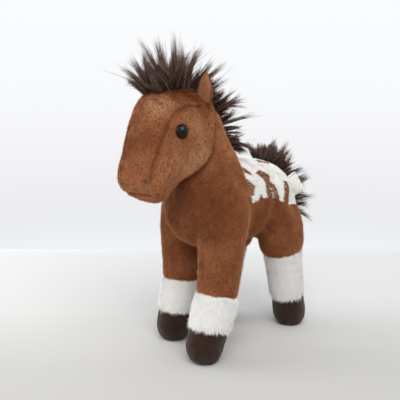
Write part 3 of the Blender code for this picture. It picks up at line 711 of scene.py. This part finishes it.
def grow_pile(name, skin, material, tone, lay, seed, per_mm2=4.0, length=0.0031, width=0.00036, rise=38,
              bare=None, hem=None):
    """Nap on a skin: fibres that lie along lay, in soft clumps, with the tone of the place they stand in."""
    rng = np.random.default_rng(seed)
    root, normal = scatter(skin, per_mm2, rng)
    if bare:
        keep = ~bare(root)
        root, normal = root[keep], normal[keep]
    count = len(root)
    clump = np.stack([wander(root, 0.0042, seed + k) for k in range(3)], axis=1)
    tuft = np.stack([wander(root, 0.0020, seed + 5 + k) for k in range(3)], axis=1)
    along = (lay(root) if callable(lay) else np.tile(np.array(lay, float), (count, 1)))
    along = unit(along) + 0.42 * clump + 0.20 * tuft + rng.normal(0, 0.14, (count, 3))
    along = unit(along - np.sum(along * normal, axis=1, keepdims=True) * normal)
    angle = np.radians(rise + 9 * wander(root, 0.005, seed + 9) + rng.normal(0, 9, count))[:, None]
    stray = 0.55 * (rng.uniform(0, 1, count) < 0.10)
    own = rng.uniform(0.65, 1.15, count) + stray
    reach = (length * (1 + 0.12 * wander(root, 0.006, seed + 10)) * own)[:, None]
    if hem:
        reach *= 1 + hem(root)[:, None] * (0.25 + 0.25 * wander(root, 0.0022, seed + 11))[:, None]
    stitch_pull_and_shade = np.exp(-(np.array([caught_tree.find(place)[2] for place in root]) / 0.0015) ** 2)
    reach *= 1 - 0.75 * stitch_pull_and_shade[:, None]
    out = along * np.cos(angle) + normal * np.sin(angle)
    bent = unit(out + 0.45 * along)
    aside = unit(np.cross(out, normal))
    twist = rng.normal(0, 0.35, count)[:, None]
    aside = unit(aside * np.cos(twist) + normal * np.sin(twist))
    half = (width / 2) * rng.uniform(0.7, 1.3, count)[:, None]
    base = root - normal * 0.0002
    belly = base + out * reach * 0.5
    rows = np.stack([base, belly + aside * half, belly + bent * reach * 0.5, belly - aside * half], axis=1)
    rows[:, :, 2] = np.maximum(rows[:, :, 2], 0)
    flat = unit(np.cross(aside, out))
    flat *= np.sign(np.sum(flat * normal, axis=1, keepdims=True))
    shade = unit(normal * 0.9 + flat * 0.16)
    # Painted shade: the nap's tone is darkened where it is caught in a seam's crease.
    tones = np.clip(tone(root, rng) - 0.5 * stitch_pull_and_shade, 0.01, 0.99)
    return fibre_mesh(name, rows, tones, [0.02, 0.5, 0.98, 0.5], shade, material)


def thicken(thing, wall):
    """Gives a cut panel the thickness of its cloth, inwards."""
    deselect()
    thing.select_set(True)
    bpy.context.view_layer.objects.active = thing
    solid = thing.modifiers.new("cloth", "SOLIDIFY")
    solid.thickness = wall
    solid.offset = -1
    bpy.ops.object.modifier_apply(modifier="cloth")


brown_ground = plush_ground("brown_plush_ground", "5a2f1d", "8a5236")
# Brushed polyester nap: matt; painted shade darkens each fibre towards its root, so the tips show lighter in
# soft streaks.
brown_nap = pile_finish("brown_plush_nap",
                        [(0.0, "5c2f1a"), (0.35, "925637"), (0.65, "c08058"), (1.0, "efbc92")])


def brown_tone(root, rng, lift=0.0):
    return (0.34 + lift + 0.10 * wander(root, 0.013, 40) + 0.05 * wander(root, 0.0045, 41)
            + rng.normal(0, 0.05, len(root)))


def body_tone_and_painted_light(root, rng):
    """Painted shade darkens the chest under the head; painted top light lightens the shoulder and neck."""
    from_shaded_chest = (root - np.array((-0.004, -0.082, 0.150))) / np.array((1.4, 1, 1))
    chest = np.exp(-(np.linalg.norm(from_shaded_chest, axis=1) / 0.030) ** 2)
    up = np.clip((root[:, 2] - 0.150) / 0.060, 0, 1)
    return brown_tone(root, rng) - 0.08 * chest + 0.22 * up - 0.02


body_cover = cloth["body_cover"]
body_cover.data.materials.append(brown_ground)
sides = {"left": lambda co: co[:, 0] < 0, "right": lambda co: co[:, 0] >= 0}
for side, other in sides.items():
    nap = grow_pile("body_cover_nap_" + side, body_cover, brown_nap, body_tone_and_painted_light, (0, 0.45, -0.9), 11,
                    bare=other)
    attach(nap, "torso")
thicken(body_cover, 0.0016)
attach(body_cover, "torso")
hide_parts("body_cover", "body_filling")


# Rump blanket
# White plush printed with brown blots in the way of an appaloosa's blanket, sewn over the loin and croup.
# Each blot is an outline on the cloth, in mm, that wanders a little. The right side has the left's, moved and
# cut down.
white_ground = plush_ground("white_plush_ground", "dcd7cf", "f8f6f2")
# The tone map's left half is the brown of a blot and its right half the white of the cloth.
blanket_nap = pile_finish("spotted_plush_nap",
                          [(0.0, "5c301e"), (0.25, "87502f"), (0.47, "ad6f48"), (0.53, "f0ece5"),
                           (0.75, "fbf9f6"), (1.0, "ffffff")], root="f0eeea", tint="fff4ea", sheen=0.15)
blots = [
    [(6.9, 23.5, 181.6), (8.5, 34, 180.5), (12, 41.5, 178), (16.6, 37.5, 177), (15.6, 29, 179),
     (13.5, 22, 181)],
    [(29.4, -4.2, 171.8), (26.3, 4.6, 174.6), (29.1, 11.7, 172), (31.6, 15.6, 169), (35.3, 12.4, 163.6),
     (38.4, 16.9, 159.4), (41.4, 18.6, 152.5), (44.3, 20.6, 143), (42.3, 14.4, 143.5), (40.8, 12.9, 151.4),
     (38.6, 10.4, 157.1), (37.3, 9.1, 160), (39.7, 10.3, 154.7), (41, 12, 147.6), (40.5, 5.3, 147.2),
     (39.7, 1.6, 153.5), (37.2, 3.6, 160.4), (33.4, 3.6, 166.7), (31, -0.4, 169)],
    [(23.5, -19.5, 179.4), (25.1, -13.4, 177), (28.5, -8.8, 172.6), (30.4, -11.5, 170.3),
     (28.8, -16.5, 172.4), (27, -21.5, 175)],
    [(31, -24.5, 170), (34, -16.2, 166), (36.7, -12.6, 161.5), (38.1, -15.8, 157), (39.4, -18.8, 151),
     (38, -25, 157), (35, -26, 164)],
    [(40.4, 31, 162.4), (40, 36.6, 162), (44.3, 37.4, 156), (47, 37.2, 149), (48.5, 36.6, 142),
     (48.5, 32, 137.4), (47, 26.6, 140.6), (46.2, 23.8, 146.4), (44.2, 27.2, 154)],
    [(40.1, -11.8, 147), (39.8, -6.6, 153.4), (40.6, -2.4, 146.4)],
    [(27, 56, 165), (32, 58, 158), (35, 58, 150), (31, 64, 147), (27, 66, 154), (24, 62, 161)]]
blots += [[(-x, 0.92 * y + 6, z - 1.5) for x, y, z in blot] for index, blot in enumerate(blots) if index != 5]


def in_blot(root):
    """How far a place lies inside a brown blot, below nought outside."""
    out = np.full(len(root), -1.0)
    for blot in blots:
        corners = np.array(blot) / 1000
        middle = corners.mean(axis=0)
        ways = np.linalg.svd(corners - middle)[2]
        near = np.abs((root - middle) @ ways[2]) < 0.012
        spots = (root[near] - middle) @ ways[:2].T
        edge = (corners - middle) @ ways[:2].T
        closest = np.full(len(spots), 1.0)
        within = np.zeros(len(spots), bool)
        for one, two in zip(edge, np.roll(edge, -1, axis=0)):
            way = two - one
            share = np.clip((spots - one) @ way / (way @ way), 0, 1)
            closest = np.minimum(closest, np.linalg.norm(spots - one - share[:, None] * way, axis=1))
            crosses = (one[1] > spots[:, 1]) != (two[1] > spots[:, 1])
            ahead = one[0] + (spots[:, 1] - one[1]) * way[0] / (way[1] if abs(way[1]) > 1e-9 else 1e-9)
            within ^= crosses & (spots[:, 0] < ahead)
        out[near] = np.maximum(out[near], np.where(within, closest, -closest))
    return out


def blanket_tone(root, rng):
    ragged = 0.0001 + 0.0008 * wander(root, 0.0028, 50) + rng.normal(0, 0.00035, len(root))
    brown = in_blot(root) + ragged > 0
    soft = 0.06 * wander(root, 0.004, 51) + rng.normal(0, 0.06, len(root))
    return np.where(brown, np.clip(0.24 + soft, 0.01, 0.46), np.clip(0.78 + soft, 0.55, 0.99))


rump_blanket = cloth["rump_blanket"]
rump_blanket.data.materials.append(white_ground)
blanket_pile = grow_pile("rump_blanket_nap", rump_blanket, blanket_nap, blanket_tone, (0, 0.6, -0.8), 21,
                         per_mm2=4.2, length=0.0024)
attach(blanket_pile, "torso")
thicken(rump_blanket, 0.0016)
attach(rump_blanket, "torso")
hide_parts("rump_blanket")


# Neck cover
# The same brown plush, sewn to the body and stuffed hard enough to hold the head up. Its nap lies down and
# back.
neck_cover = cloth["neck_cover"]
neck_cover.data.materials.append(brown_ground)
neck_pile = grow_pile("neck_cover_nap", neck_cover, brown_nap, body_tone_and_painted_light, (0, 0.5, -0.85), 31)
thicken(neck_cover, 0.0016)
for piece in (neck_pile, neck_cover):
    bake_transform(piece)
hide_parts("neck_cover", "neck_filling")


# Head
# Two brown side panels and a gusset between them, sewn in two face seams that run from the ears to the
# nostrils.
eye_place = np.array((0.0320, -0.1055, 0.2165))
eye_outward = np.array((0.985, -0.159, 0.057))


def to_left(root):
    """Places moved to the left side, where the right ones have their mirror images."""
    return np.abs(root * (1, 0, 0)) + root * (0, 1, 1)


def at_eye(root):
    """True under an eye, where the nap is cut away."""
    return np.linalg.norm(to_left(root) - eye_place, axis=1) < 0.0062


def face_lay(root):
    """The face's nap lies down from the forehead to the muzzle and back over the cheeks."""
    cheek = np.clip(past(root, poll, face_forward) / 0.03, -1, 1)[:, None]
    return np.array(head_down) + (0.15 - 0.55 * (1 - cheek)) * np.array(face_forward)


# Painted light and shade on the face, where the nap turns towards the light or away from it: forehead, cheek,
# muzzle, behind the eye, between the eyes, and below the eye. Each is a place on the left side, its reach,
# and how much lighter it is.
face_painted_lights = ((0.012, -0.118, 0.242, 0.018, 0.42), (0.034, -0.088, 0.194, 0.030, 0.42),
               (0.010, -0.135, 0.170, 0.024, 0.28), (0.034, -0.088, 0.232, 0.014, 0.20),
               (0.010, -0.126, 0.215, 0.014, -0.04), (0.026, -0.098, 0.204, 0.010, -0.20))


# The face's tone gets the painted light and shade of the lobes above.
def face_tone_and_painted_light(root, rng):
    light = 0
    for x, y, z, size, lift in face_painted_lights:
        way = to_left(root) - (x, y, z)
        light = light + lift * np.exp(-(np.linalg.norm(way, axis=1) / size) ** 2)
    return brown_tone(root, rng, lift=0.05) + light


head_parts = ("head_left_panel", "head_right_panel", "head_gusset")
for number, word in enumerate(head_parts):
    part = cloth[word]
    part.data.materials.append(brown_ground)
    nap = grow_pile(word + "_nap", part, brown_nap, face_tone_and_painted_light, face_lay, 60 + 20 * number, length=0.0023,
                    bare=at_eye)
    thicken(part, 0.0016)
    for piece in (nap, part):
        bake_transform(piece)
    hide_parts(word)
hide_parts("head_filling")


# Legs
# Each leg is a stuffed tube of brown plush, closed by a white plush sock and a suede hoof with a round sole.
white_nap = pile_finish("white_plush_nap", [(0.0, "efebe5"), (0.5, "fbf9f6"), (1.0, "ffffff")], root="f4f2ee",
                        tint="ffffff", sheen=0.6)
# Suede is brushed leather or microfibre: very matt, with a faint mottle where the nap was stroked.
hoof_suede = finish("dark_brown_suede", 0.95, sheen=0.35, specular=0.15)
place = add_node(hoof_suede, "ShaderNodeTexCoord").outputs["Object"]
nap_noise = add_node(hoof_suede, "ShaderNodeTexNoise", {"Vector": place, "Scale": 260, "Detail": 5})
suede_colour = add_node(hoof_suede, "ShaderNodeValToRGB", {"Fac": nap_noise.outputs["Fac"]},
                        [(0.32, "2c1b14"), (0.68, "33221a")])
suede_bump = add_node(hoof_suede, "ShaderNodeBump", {"Height": nap_noise.outputs["Fac"], "Strength": 0.2,
                                                     "Distance": 0.0005})
paint(hoof_suede, suede_colour.outputs["Color"], suede_bump.outputs["Normal"])
suede_nap = pile_finish("dark_brown_suede_nap", [(0.0, "2a1912"), (0.6, "332018"), (1.0, "3e291f")],
                        sheen=0.15)


def white_tone(root, rng):
    return 0.6 + 0.1 * wander(root, 0.004, 51) + rng.normal(0, 0.12, len(root))


def leg_tone(root, rng):
    return brown_tone(root, rng, lift=0.06)


def hoof_tone(root, rng):
    return 0.5 + 0.15 * wander(root, 0.006, 52) + rng.normal(0, 0.06, len(root))


for number, leg in enumerate(leg_feet):
    seed = 200 + 50 * number
    body = leg + "_leg"
    cover, sock, hoof, sole = (cloth[leg + ending] for ending in ("_leg_cover", "_sock", "_hoof", "_sole"))

    def near_hem(root):
        """How near the sock's low hem a place is; the nap is longer there and hangs over the hoof."""
        return np.exp(-((leg_height(root, leg) - leg_feet[leg][3]) / 0.006) ** 2)

    sock_nap = {"length": 0.0038, "per_mm2": 5.0, "hem": near_hem}
    hoof_nap = {"length": 0.0008, "rise": 40}
    for part, ground, nap_look, tone, slot, how in (
            (cover, brown_ground, brown_nap, leg_tone, "brown_plush", {}),
            (sock, white_ground, white_nap, white_tone, "white_plush", sock_nap),
            (hoof, hoof_suede, suede_nap, hoof_tone, "hoof_suede", hoof_nap)):
        part.data.materials.append(ground)
        word = part.name.removesuffix("_skin")
        nap = grow_pile(word + "_nap", part, nap_look, tone, (0, 0.1, -1), seed, **how)
        thicken(part, 0.0016)
        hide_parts(word)
        for piece in (nap, part):
            if part is cover:
                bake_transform(piece)
            else:
                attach(piece, body)
        seed += 12
    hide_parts(leg + "_leg_filling")
    sole.data.materials.append(hoof_suede)
    thicken(sole, 0.0016)
    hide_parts(leg + "_sole")
    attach(sole, body)


# Ears
# A leaf of brown plush with a lighter lining, sewn into the head's seam and cupped forwards.
tan_ground = plush_ground("tan_plush_ground", "8a5a3c", "bb865f")
tan_nap = pile_finish("tan_plush_nap", [(0.0, "9a6444"), (0.5, "bd8560"), (1.0, "dcab88")])
# Up the ear: its centre, and its half width and half thickness, in mm.
ear_rings = ((22, -69, 236.2, 6.6, 3.5), (22.9, -69.3, 241.5, 8.6, 3.3), (23.4, -69.7, 246.6, 9.5, 3.1),
             (24.4, -70.2, 252.5, 8.6, 2.8), (25.2, -70.6, 258, 6.6, 2.4), (26.0, -71, 264.2, 3.2, 2.0),
             (26.3, -71.2, 266.6, 0.9, 1.2))


def tan_tone(root, rng):
    return 0.5 + 0.2 * wander(root, 0.004, 53) + rng.normal(0, 0.12, len(root))


for side, sign in (("left", 1), ("right", -1)):
    rows = [(sign * x, y, z, wide, deep, 180) for x, y, z, wide, deep in ear_rings]
    ear = sewn_form(side + "_ear_leaf", rows)
    co = points_of(ear)
    up = (co[:, 2] - 0.236) / 0.031
    middle_x = sign * (0.022 + 0.0044 * up)
    half = 0.0095 * np.clip(1.05 - np.abs(up - 0.35) ** 2, 0.2, 1)
    across = (co[:, 0] - middle_x) / half
    cup = 0.0030 * (1 - np.clip(across, -1, 1) ** 2) * np.clip(1.2 - up, 0, 1)
    co[:, 1] += np.where(normals_of(ear)[:, 1] < 0.1, cup, 0.6 * cup)
    move_points(ear, co)
    faces = ear.data.polygons
    centres = np.array([face.center[:] for face in faces])
    way = np.array([face.normal[:] for face in faces])
    up = (centres[:, 2] - 0.236) / 0.031
    half = 0.0078 * np.clip(1.05 - np.abs(up - 0.35) ** 2, 0.2, 1)
    across = (centres[:, 0] - sign * (0.022 + 0.0044 * up)) / half
    inner = (way[:, 1] < -0.35) & (up > 0.16) & (up < 0.93) & (np.abs(across) < 1)
    ear_parts = part_skin(ear, (side + "_ear", side + "_ear_lining"), inner.astype(int))
    for word, part in ear_parts.items():
        is_lining = word.endswith("lining")
        part.data.materials.append(tan_ground if is_lining else brown_ground)
        nap = grow_pile(word + "_nap", part, tan_nap if is_lining else brown_nap,
                        tan_tone if is_lining else brown_tone, (0, 0, 1), 500, per_mm2=4.5,
                        length=0.0017, rise=28)
        thicken(part, 0.0008)
        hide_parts(word)
        for piece in (nap, part):
            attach(piece, side + "_ear")


# Safety eyes
# A black moulded acrylic dome on a stem that goes through the plush, held inside by a push-on plastic washer.
black_eye = finish("black_acrylic", 0.05, specular=0.25)
black_eye.node_tree.nodes["Principled BSDF"].inputs["IOR"].default_value = 1.49
place = add_node(black_eye, "ShaderNodeTexCoord").outputs["Object"]
haze = add_node(black_eye, "ShaderNodeTexNoise", {"Vector": place, "Scale": 500, "Detail": 2})
eye_colour = add_node(black_eye, "ShaderNodeValToRGB", {"Fac": haze.outputs["Fac"]},
                      [(0.3, "060505"), (0.7, "0e0b09")])
paint(black_eye, eye_colour.outputs["Color"])
for side, sign in (("left", 1), ("right", -1)):
    outward = Vector((sign * eye_outward[0], eye_outward[1], eye_outward[2])).normalized()
    place = Vector((sign * eye_place[0], eye_place[1], eye_place[2]))
    flat = place - outward * 0.0006
    deselect()
    bpy.ops.mesh.primitive_uv_sphere_add(segments=48, ring_count=24, radius=0.0062, location=flat,
                                         rotation=outward.to_track_quat("Z", "Y").to_euler())
    eye = bpy.context.active_object
    eye.name = eye.data.name = side + "_eye_dome"
    bpy.ops.object.transform_apply(location=True, rotation=True, scale=True)
    bpy.ops.object.mode_set(mode="EDIT")
    bpy.ops.mesh.select_all(action="SELECT")
    bpy.ops.mesh.bisect(plane_co=flat, plane_no=outward, use_fill=True, clear_inner=True)
    bpy.ops.mesh.inset(thickness=0.0040)
    bpy.ops.mesh.extrude_region_move(TRANSFORM_OT_translate={"value": -outward * 0.0127})
    bpy.ops.object.mode_set(mode="OBJECT")
    bpy.ops.object.shade_smooth_by_angle(angle=math.radians(40))
    eye.data.materials.append(black_eye)
    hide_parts(side + "_eye")
    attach(eye, "head")

# The washers stay as packed: natural moulded plastic, slightly waxy, hidden in the stuffing.
washer_plastic = finish("natural_polyethylene", 0.45, specular=0.4)
place = add_node(washer_plastic, "ShaderNodeTexCoord").outputs["Object"]
cloud = add_node(washer_plastic, "ShaderNodeTexNoise", {"Vector": place, "Scale": 300, "Detail": 3})
washer_colour = add_node(washer_plastic, "ShaderNodeValToRGB", {"Fac": cloud.outputs["Fac"]},
                         [(0.3, "d9d8d2"), (0.7, "e8e7e2")])
paint(washer_plastic, washer_colour.outputs["Color"])
for side in ("left", "right"):
    washer = frame["nodes"][side + "_eye_washer"]
    washer.data.materials.clear()
    washer.data.materials.append(washer_plastic)


# Nostrils
# A few turns of dark embroidery thread, pulled tight over the end of each face seam.
thread = finish("dark_brown_thread", 0.6, sheen=0.1, specular=0.3)
place = add_node(thread, "ShaderNodeTexCoord").outputs["Object"]
# Thread turns lie 0.5 mm apart.
turns = add_node(thread, "ShaderNodeTexWave", {"Vector": place, "Scale": 330, "Distortion": 1.0},
                 bands_direction="Z")
thread_colour = add_node(thread, "ShaderNodeValToRGB", {"Fac": turns.outputs["Fac"]},
                         [(0.2, "1a100d"), (0.8, "3a241c")])
thread_bump = add_node(thread, "ShaderNodeBump", {"Height": turns.outputs["Fac"], "Strength": 0.5,
                                                  "Distance": 0.0003})
paint(thread, thread_colour.outputs["Color"], thread_bump.outputs["Normal"])
for side, sign in (("left", 1), ("right", -1)):
    deselect()
    place = (sign * 0.0178, -0.1353, 0.1743)
    bpy.ops.mesh.primitive_uv_sphere_add(segments=24, ring_count=16, radius=0.5, location=place,
                                         scale=(0.0022, 0.0024, 0.0060))
    stitch = bpy.context.active_object
    stitch.name = stitch.data.name = side + "_nostril_thread"
    bpy.ops.object.transform_apply(location=True, rotation=True, scale=True)
    bpy.ops.object.shade_smooth()
    stitch.data.materials.append(thread)
    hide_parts(side + "_nostril_stitch")
    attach(stitch, "head")


# Forelock, mane and tail
# Long dark synthetic fur on strips of woven backing, sewn over the poll, down the crest of the neck and on
# the rump. It stands up in pointed tufts.
dark_fur = pile_finish("dark_brown_long_fur",
                       [(0.0, "2c1c19"), (0.4, "4a3430"), (0.75, "745850"), (1.0, "a28378")],
                       root="6c6460", tint="d8b8aa", sheen=0.5)


def grow_locks(name, crest, half_band, leans, length, seed, locks, fibres, spread):
    """Pointed, gently bent locks of long fibres along a crest."""
    rng = np.random.default_rng(seed)
    crest = np.array(crest) / 1000
    steps = np.linspace(0, 1, len(crest))
    marks = np.array([row[0] for row in leans])
    parts = np.array((0, 0.3, 0.55, 0.78, 1.0))[None, :, None]
    girth = np.array((0.9, 1.0, 0.85, 0.6))[None, :, None]
    rows = []
    tones = []
    shades = []
    for _ in range(locks):
        share = rng.uniform(0, 1)
        across = rng.uniform(-1, 1)
        spot = np.array((across * half_band, *(np.interp(share, steps, crest[:, k]) for k in (0, 1))))
        lean = np.interp(share, marks, [row[1] for row in leans]) * math.pi / 2
        lean += np.clip(rng.normal(0, 0.13), -0.2, 0.2)
        reach = length * np.interp(share, marks, [row[2] for row in leans]) * rng.uniform(0.50, 1.0)
        splay = across * spread + rng.normal(0, 0.14)
        way = np.array((math.sin(splay), -math.sin(lean) * math.cos(splay), math.cos(lean) * math.cos(splay)))
        bend = rng.normal(0, 0.18, 3) - way * 0.10 + np.array((0, 0, -0.06))
        thick = rng.uniform(0.7, 1.5)
        offset = rng.normal(0, 1, (fibres, 1, 3)) * np.array((0.0017, 0.0019, 0.0008)) * thick
        runs = parts * (1 - 0.55 * rng.uniform(0, 1, (fibres, 1, 1)) ** 1.3)
        loose = rng.normal(0, 0.05, (fibres, 1, 3))
        astray = rng.normal(0, 0.20, (fibres, 1, 3))
        loose = loose + astray * (rng.uniform(0, 1, (fibres, 1, 1)) < 0.07)
        track = spot + (way * runs + (bend + loose) * runs ** 2) * reach + offset * (1 - 0.84 * runs ** 1.3)
        aside = unit(np.cross(track[:, 4] - track[:, 0], rng.normal(0, 1, (fibres, 3))))[:, None]
        aside = aside * 0.00018 * rng.uniform(0.7, 1.3, (fibres, 1, 1)) * girth
        back = (track[:, :4] - aside)[:, ::-1]
        rows.append(np.concatenate([track[:, :4] + aside, track[:, 4:], back], axis=1))
        tones.append(np.clip(rng.normal(0.40, 0.12) + rng.normal(0, 0.16, fibres), 0.01, 0.99))
        shades.append(unit(way * 0.2 + np.array((0, 0, 0.5)) + 0.6 * unit(offset[:, 0])))
    heights = [0.02, 0.3, 0.55, 0.78, 0.98, 0.78, 0.55, 0.3, 0.02]
    faces = ((0, 1, 7, 8), (1, 2, 6, 7), (2, 3, 5, 6), (3, 4, 5))
    return fibre_mesh(name, np.concatenate(rows), np.concatenate(tones), heights, np.concatenate(shades),
                      dark_fur, faces=faces)


def in_tenths(points):
    """Places on the middle plane as y and z in mm, to a tenth."""
    return [(round(point[1] * 1000, 1), round(point[2] * 1000, 1)) for point in points]


# Down the head and before its axis, as shares of its length and depth.
forelock_crest = in_tenths([head_point(down, before) for down, before in (
    (0.215, 0.350), (0.118, 0.255), (0.038, 0.120), (-0.010, -0.036), (-0.030, -0.180))])
# Down the neck and behind its axis. The mane starts on the head, before the neck's own crest.
mane_crest = [(-50, 243), (-42, 238)] + in_tenths([
    neck_top - neck_up * (down * neck_length) - neck_forward * (behind * neck_base_depth / 2)
    for down, behind in ((-0.10, 0.640), (0.10, 0.665), (0.32, 0.735), (0.50, 0.815))])
# Along the body and down from its back.
tail_crest = in_tenths([
    (0, chest_place + along * body_length, back_height - down * body_height)
    for along, down in ((0.758, 0.020), (0.845, 0.085), (0.915, 0.200), (0.970, 0.350), (1.006, 0.530),
                        (1.016, 0.720), (1.006, 0.880))])
# A row says how far along the crest, how far the fur leans back as a share of a quarter turn, and how long
# it is as a share of the longest.
forelock_leans = ((0.04, 0.46, 0.84), (0.28, 0.30, 0.94), (0.50, -0.02, 1.12), (0.74, -0.30, 1.00),
                  (0.96, -0.55, 0.92))
mane_leans = ((0.02, -0.45, 1.00), (0.30, -0.62, 1.05), (0.55, -0.78, 1.05), (0.76, -0.90, 0.88),
              (0.96, -0.98, 0.72))
tail_leans = ((0.10, -0.12, 0.50), (0.26, -0.20, 0.72), (0.41, -0.34, 0.80), (0.55, -0.58, 0.86),
              (0.69, -0.88, 0.88), (0.83, -1.06, 0.82), (0.95, -1.26, 0.76))
# Crest, half the band's width, leans, longest fibre, seed, locks, fibres in a lock, and the locks' splay.
fur_pieces = {
    "forelock": (forelock_crest, 0.011, forelock_leans, 0.045, 704, 80, 100, 0.42),
    "neck_mane": (mane_crest, 0.0065, mane_leans, 0.037, 712, 80, 80, 0.42),
    "tail": (tail_crest, 0.0075, tail_leans, 0.0480, 723, 190, 60, 0.52),
}
for name, (crest, half_band, leans, length, seed, locks, fibres, spread) in fur_pieces.items():
    fur = grow_locks(name + "_fur", crest, half_band, leans, length, seed, locks, fibres, spread)
    rows = []
    for index, (y, z) in enumerate(crest):
        y_back, z_back = crest[max(index - 1, 0)]
        y_on, z_on = crest[min(index + 1, len(crest) - 1)]
        slope = math.degrees(math.atan2(z_on - z_back, y_on - y_back)) + 90
        rows.append((0, y, z, half_band * 1000 * 1.1, 3.6, slope))
    backing = sewn_form(name + "_backing", rows)
    backing.data.materials.append(dark_fur)
    deselect()
    backing.select_set(True)
    fur.select_set(True)
    bpy.context.view_layer.objects.active = fur
    bpy.ops.object.join()
    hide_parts(name)
    if name == "forelock":
        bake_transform(fur)
    elif name == "neck_mane":
        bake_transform(fur)
    else:
        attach(fur, "tail")


# Care label
# A bare loop of white polyester satin, folded once and caught in the rump seam.
label_satin = finish("white_satin", 0.45, sheen=0.2, specular=0.4)
place = add_node(label_satin, "ShaderNodeTexCoord").outputs["Object"]
# Satin's weave is too fine to show, so its ribs are drawn 0.5 mm apart.
ribs = add_node(label_satin, "ShaderNodeTexWave", {"Vector": place, "Scale": 330, "Distortion": 0.5})
satin_colour = add_node(label_satin, "ShaderNodeValToRGB", {"Fac": ribs.outputs["Fac"]},
                        [(0.0, "d6d3ce"), (1.0, "e9e6e1")])
paint(label_satin, satin_colour.outputs["Color"])
label_root = Vector((0.0215, 0.0610, 0.1480))
label_out = Vector((0.50, 0.66, 0.52)).normalized()
label_flat = label_out.cross(Vector((0, -label_out.z, label_out.y))).normalized()
label_across = label_out.cross(label_flat)
label_width = 0.022
label_length = 0.0175
label_half_gap = 0.0024
deselect()
bpy.ops.mesh.primitive_grid_add(x_subdivisions=40, y_subdivisions=10, size=1)
label = bpy.context.active_object
label.name = label.data.name = "care_label_tape"
run = 2 * label_length + math.pi * label_half_gap
folded = []
for x, y, _ in points_of(label):
    along = (x + 0.5) * run
    if along < label_length:
        out, off = along, label_half_gap
    elif along > run - label_length:
        out, off = run - along, -label_half_gap
    else:
        turn = (along - label_length) / label_half_gap
        out, off = label_length + label_half_gap * math.sin(turn), label_half_gap * math.cos(turn)
    # The loop bellies out along its length, and one edge twists away.
    off += 0.0026 * math.sin(math.pi * out / label_length) * math.cos(3 * y) + 0.0040 * y * out / label_length
    place = label_root + label_out * (out - 0.001) + label_flat * off
    folded.append(place + label_across * (y * label_width))
move_points(label, np.array(folded))
bpy.ops.object.shade_smooth()
label.data.materials.append(label_satin)
wall = label.modifiers.new("satin", "SOLIDIFY")
wall.thickness = 0.0003
bpy.ops.object.modifier_apply(modifier="satin")
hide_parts("care_label")
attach(label, "torso")


# Stage
# A plain pale floor before a white backdrop, in the even light of a photo tent with two large soft lamps.
floor_finish = finish("pale_floor", 0.7, specular=0.1)
place = add_node(floor_finish, "ShaderNodeTexCoord").outputs["Object"]
# Object coordinates turned so that Y runs away from the camera. The floor is painted darker towards the
# camera and paler towards its far edge, a painted falloff of the tent's light.
away = add_node(floor_finish, "ShaderNodeMapping", {"Vector": place, "Rotation": (0, 0, -math.radians(44))})
apart = add_node(floor_finish, "ShaderNodeSeparateXYZ", {"Vector": away.outputs["Vector"]})
depth = add_node(floor_finish, "ShaderNodeMath", {0: apart.outputs["Y"], 1: 0.6}, operation="ADD")
floor_colour = add_node(floor_finish, "ShaderNodeValToRGB", {"Fac": depth.outputs[0]},
                        [(0.30, "b2b0ab"), (0.50, "bdbcb9"), (0.66, "d2d1d0"), (0.91, "d9d9d9"),
                         (0.96, "dedfe1")])
paint(floor_finish, floor_colour.outputs["Color"])
deselect()
bpy.ops.mesh.primitive_plane_add(size=3, location=(0.7906, -0.8186, 0), rotation=(0, 0, math.radians(44)))
floor = bpy.context.active_object
floor.name = "floor"
bpy.ops.object.transform_apply(location=True, rotation=True, scale=True)
floor.data.materials.append(floor_finish)
world = bpy.data.worlds.new("backdrop")
bpy.context.scene.world = world
world.use_nodes = True
tent = world.node_tree.nodes["Background"]
tent.inputs["Color"].default_value = linear("f6f7f8")
tent.inputs["Strength"].default_value = 0.90
toward = add_node(world, "ShaderNodeTexCoord").outputs["Generated"]
height = add_node(world, "ShaderNodeSeparateXYZ", {"Vector": toward})
rise = add_node(world, "ShaderNodeMath", {0: height.outputs["Z"], 1: 0.5}, operation="ADD")
backdrop_colour = add_node(world, "ShaderNodeValToRGB", {"Fac": rise.outputs[0]},
                           [(0.266, "f2f3f5"), (0.290, "eeeff1"), (0.315, "ebecee"), (0.345, "ededf0"),
                            (0.425, "f3f3f6"), (0.52, "f8f9fb"), (0.68, "fafcfd")])
backdrop = add_node(world, "ShaderNodeBackground",
                    {"Color": backdrop_colour.outputs["Color"], "Strength": 1.0})
ray = add_node(world, "ShaderNodeLightPath")
seen = add_node(world, "ShaderNodeMath", {0: ray.outputs["Is Camera Ray"], 1: ray.outputs["Is Glossy Ray"]},
                operation="MAXIMUM")
seen = add_node(world, "ShaderNodeMath", {0: seen.outputs[0], 1: ray.outputs["Is Transmission Ray"]},
                operation="MAXIMUM")
either = add_node(world, "ShaderNodeMixShader", {0: seen.outputs[0], 1: tent.outputs["Background"],
                                                 2: backdrop.outputs["Background"]})
world.node_tree.links.new(either.outputs["Shader"], world.node_tree.nodes["World Output"].inputs["Surface"])
lamps = (("key", (0.70, -0.58, 1.10), 0.9, 11.5), ("side", (-0.9, -0.7, 0.6), 0.8, 6.0))
for name, spot, size, power in lamps:
    lamp_data = bpy.data.lights.new(name, "AREA")
    lamp_data.size = size
    lamp_data.energy = power
    lamp = bpy.data.objects.new(name, lamp_data)
    lamp.location = spot
    lamp.rotation_euler = (Vector((0, 0, 0.14)) - lamp.location).to_track_quat("-Z", "Y").to_euler()
    bpy.context.scene.collection.objects.link(lamp)


# Close
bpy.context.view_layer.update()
for form in list(bpy.data.objects):
    if form.name.endswith("_form"):
        bpy.data.objects.remove(form)
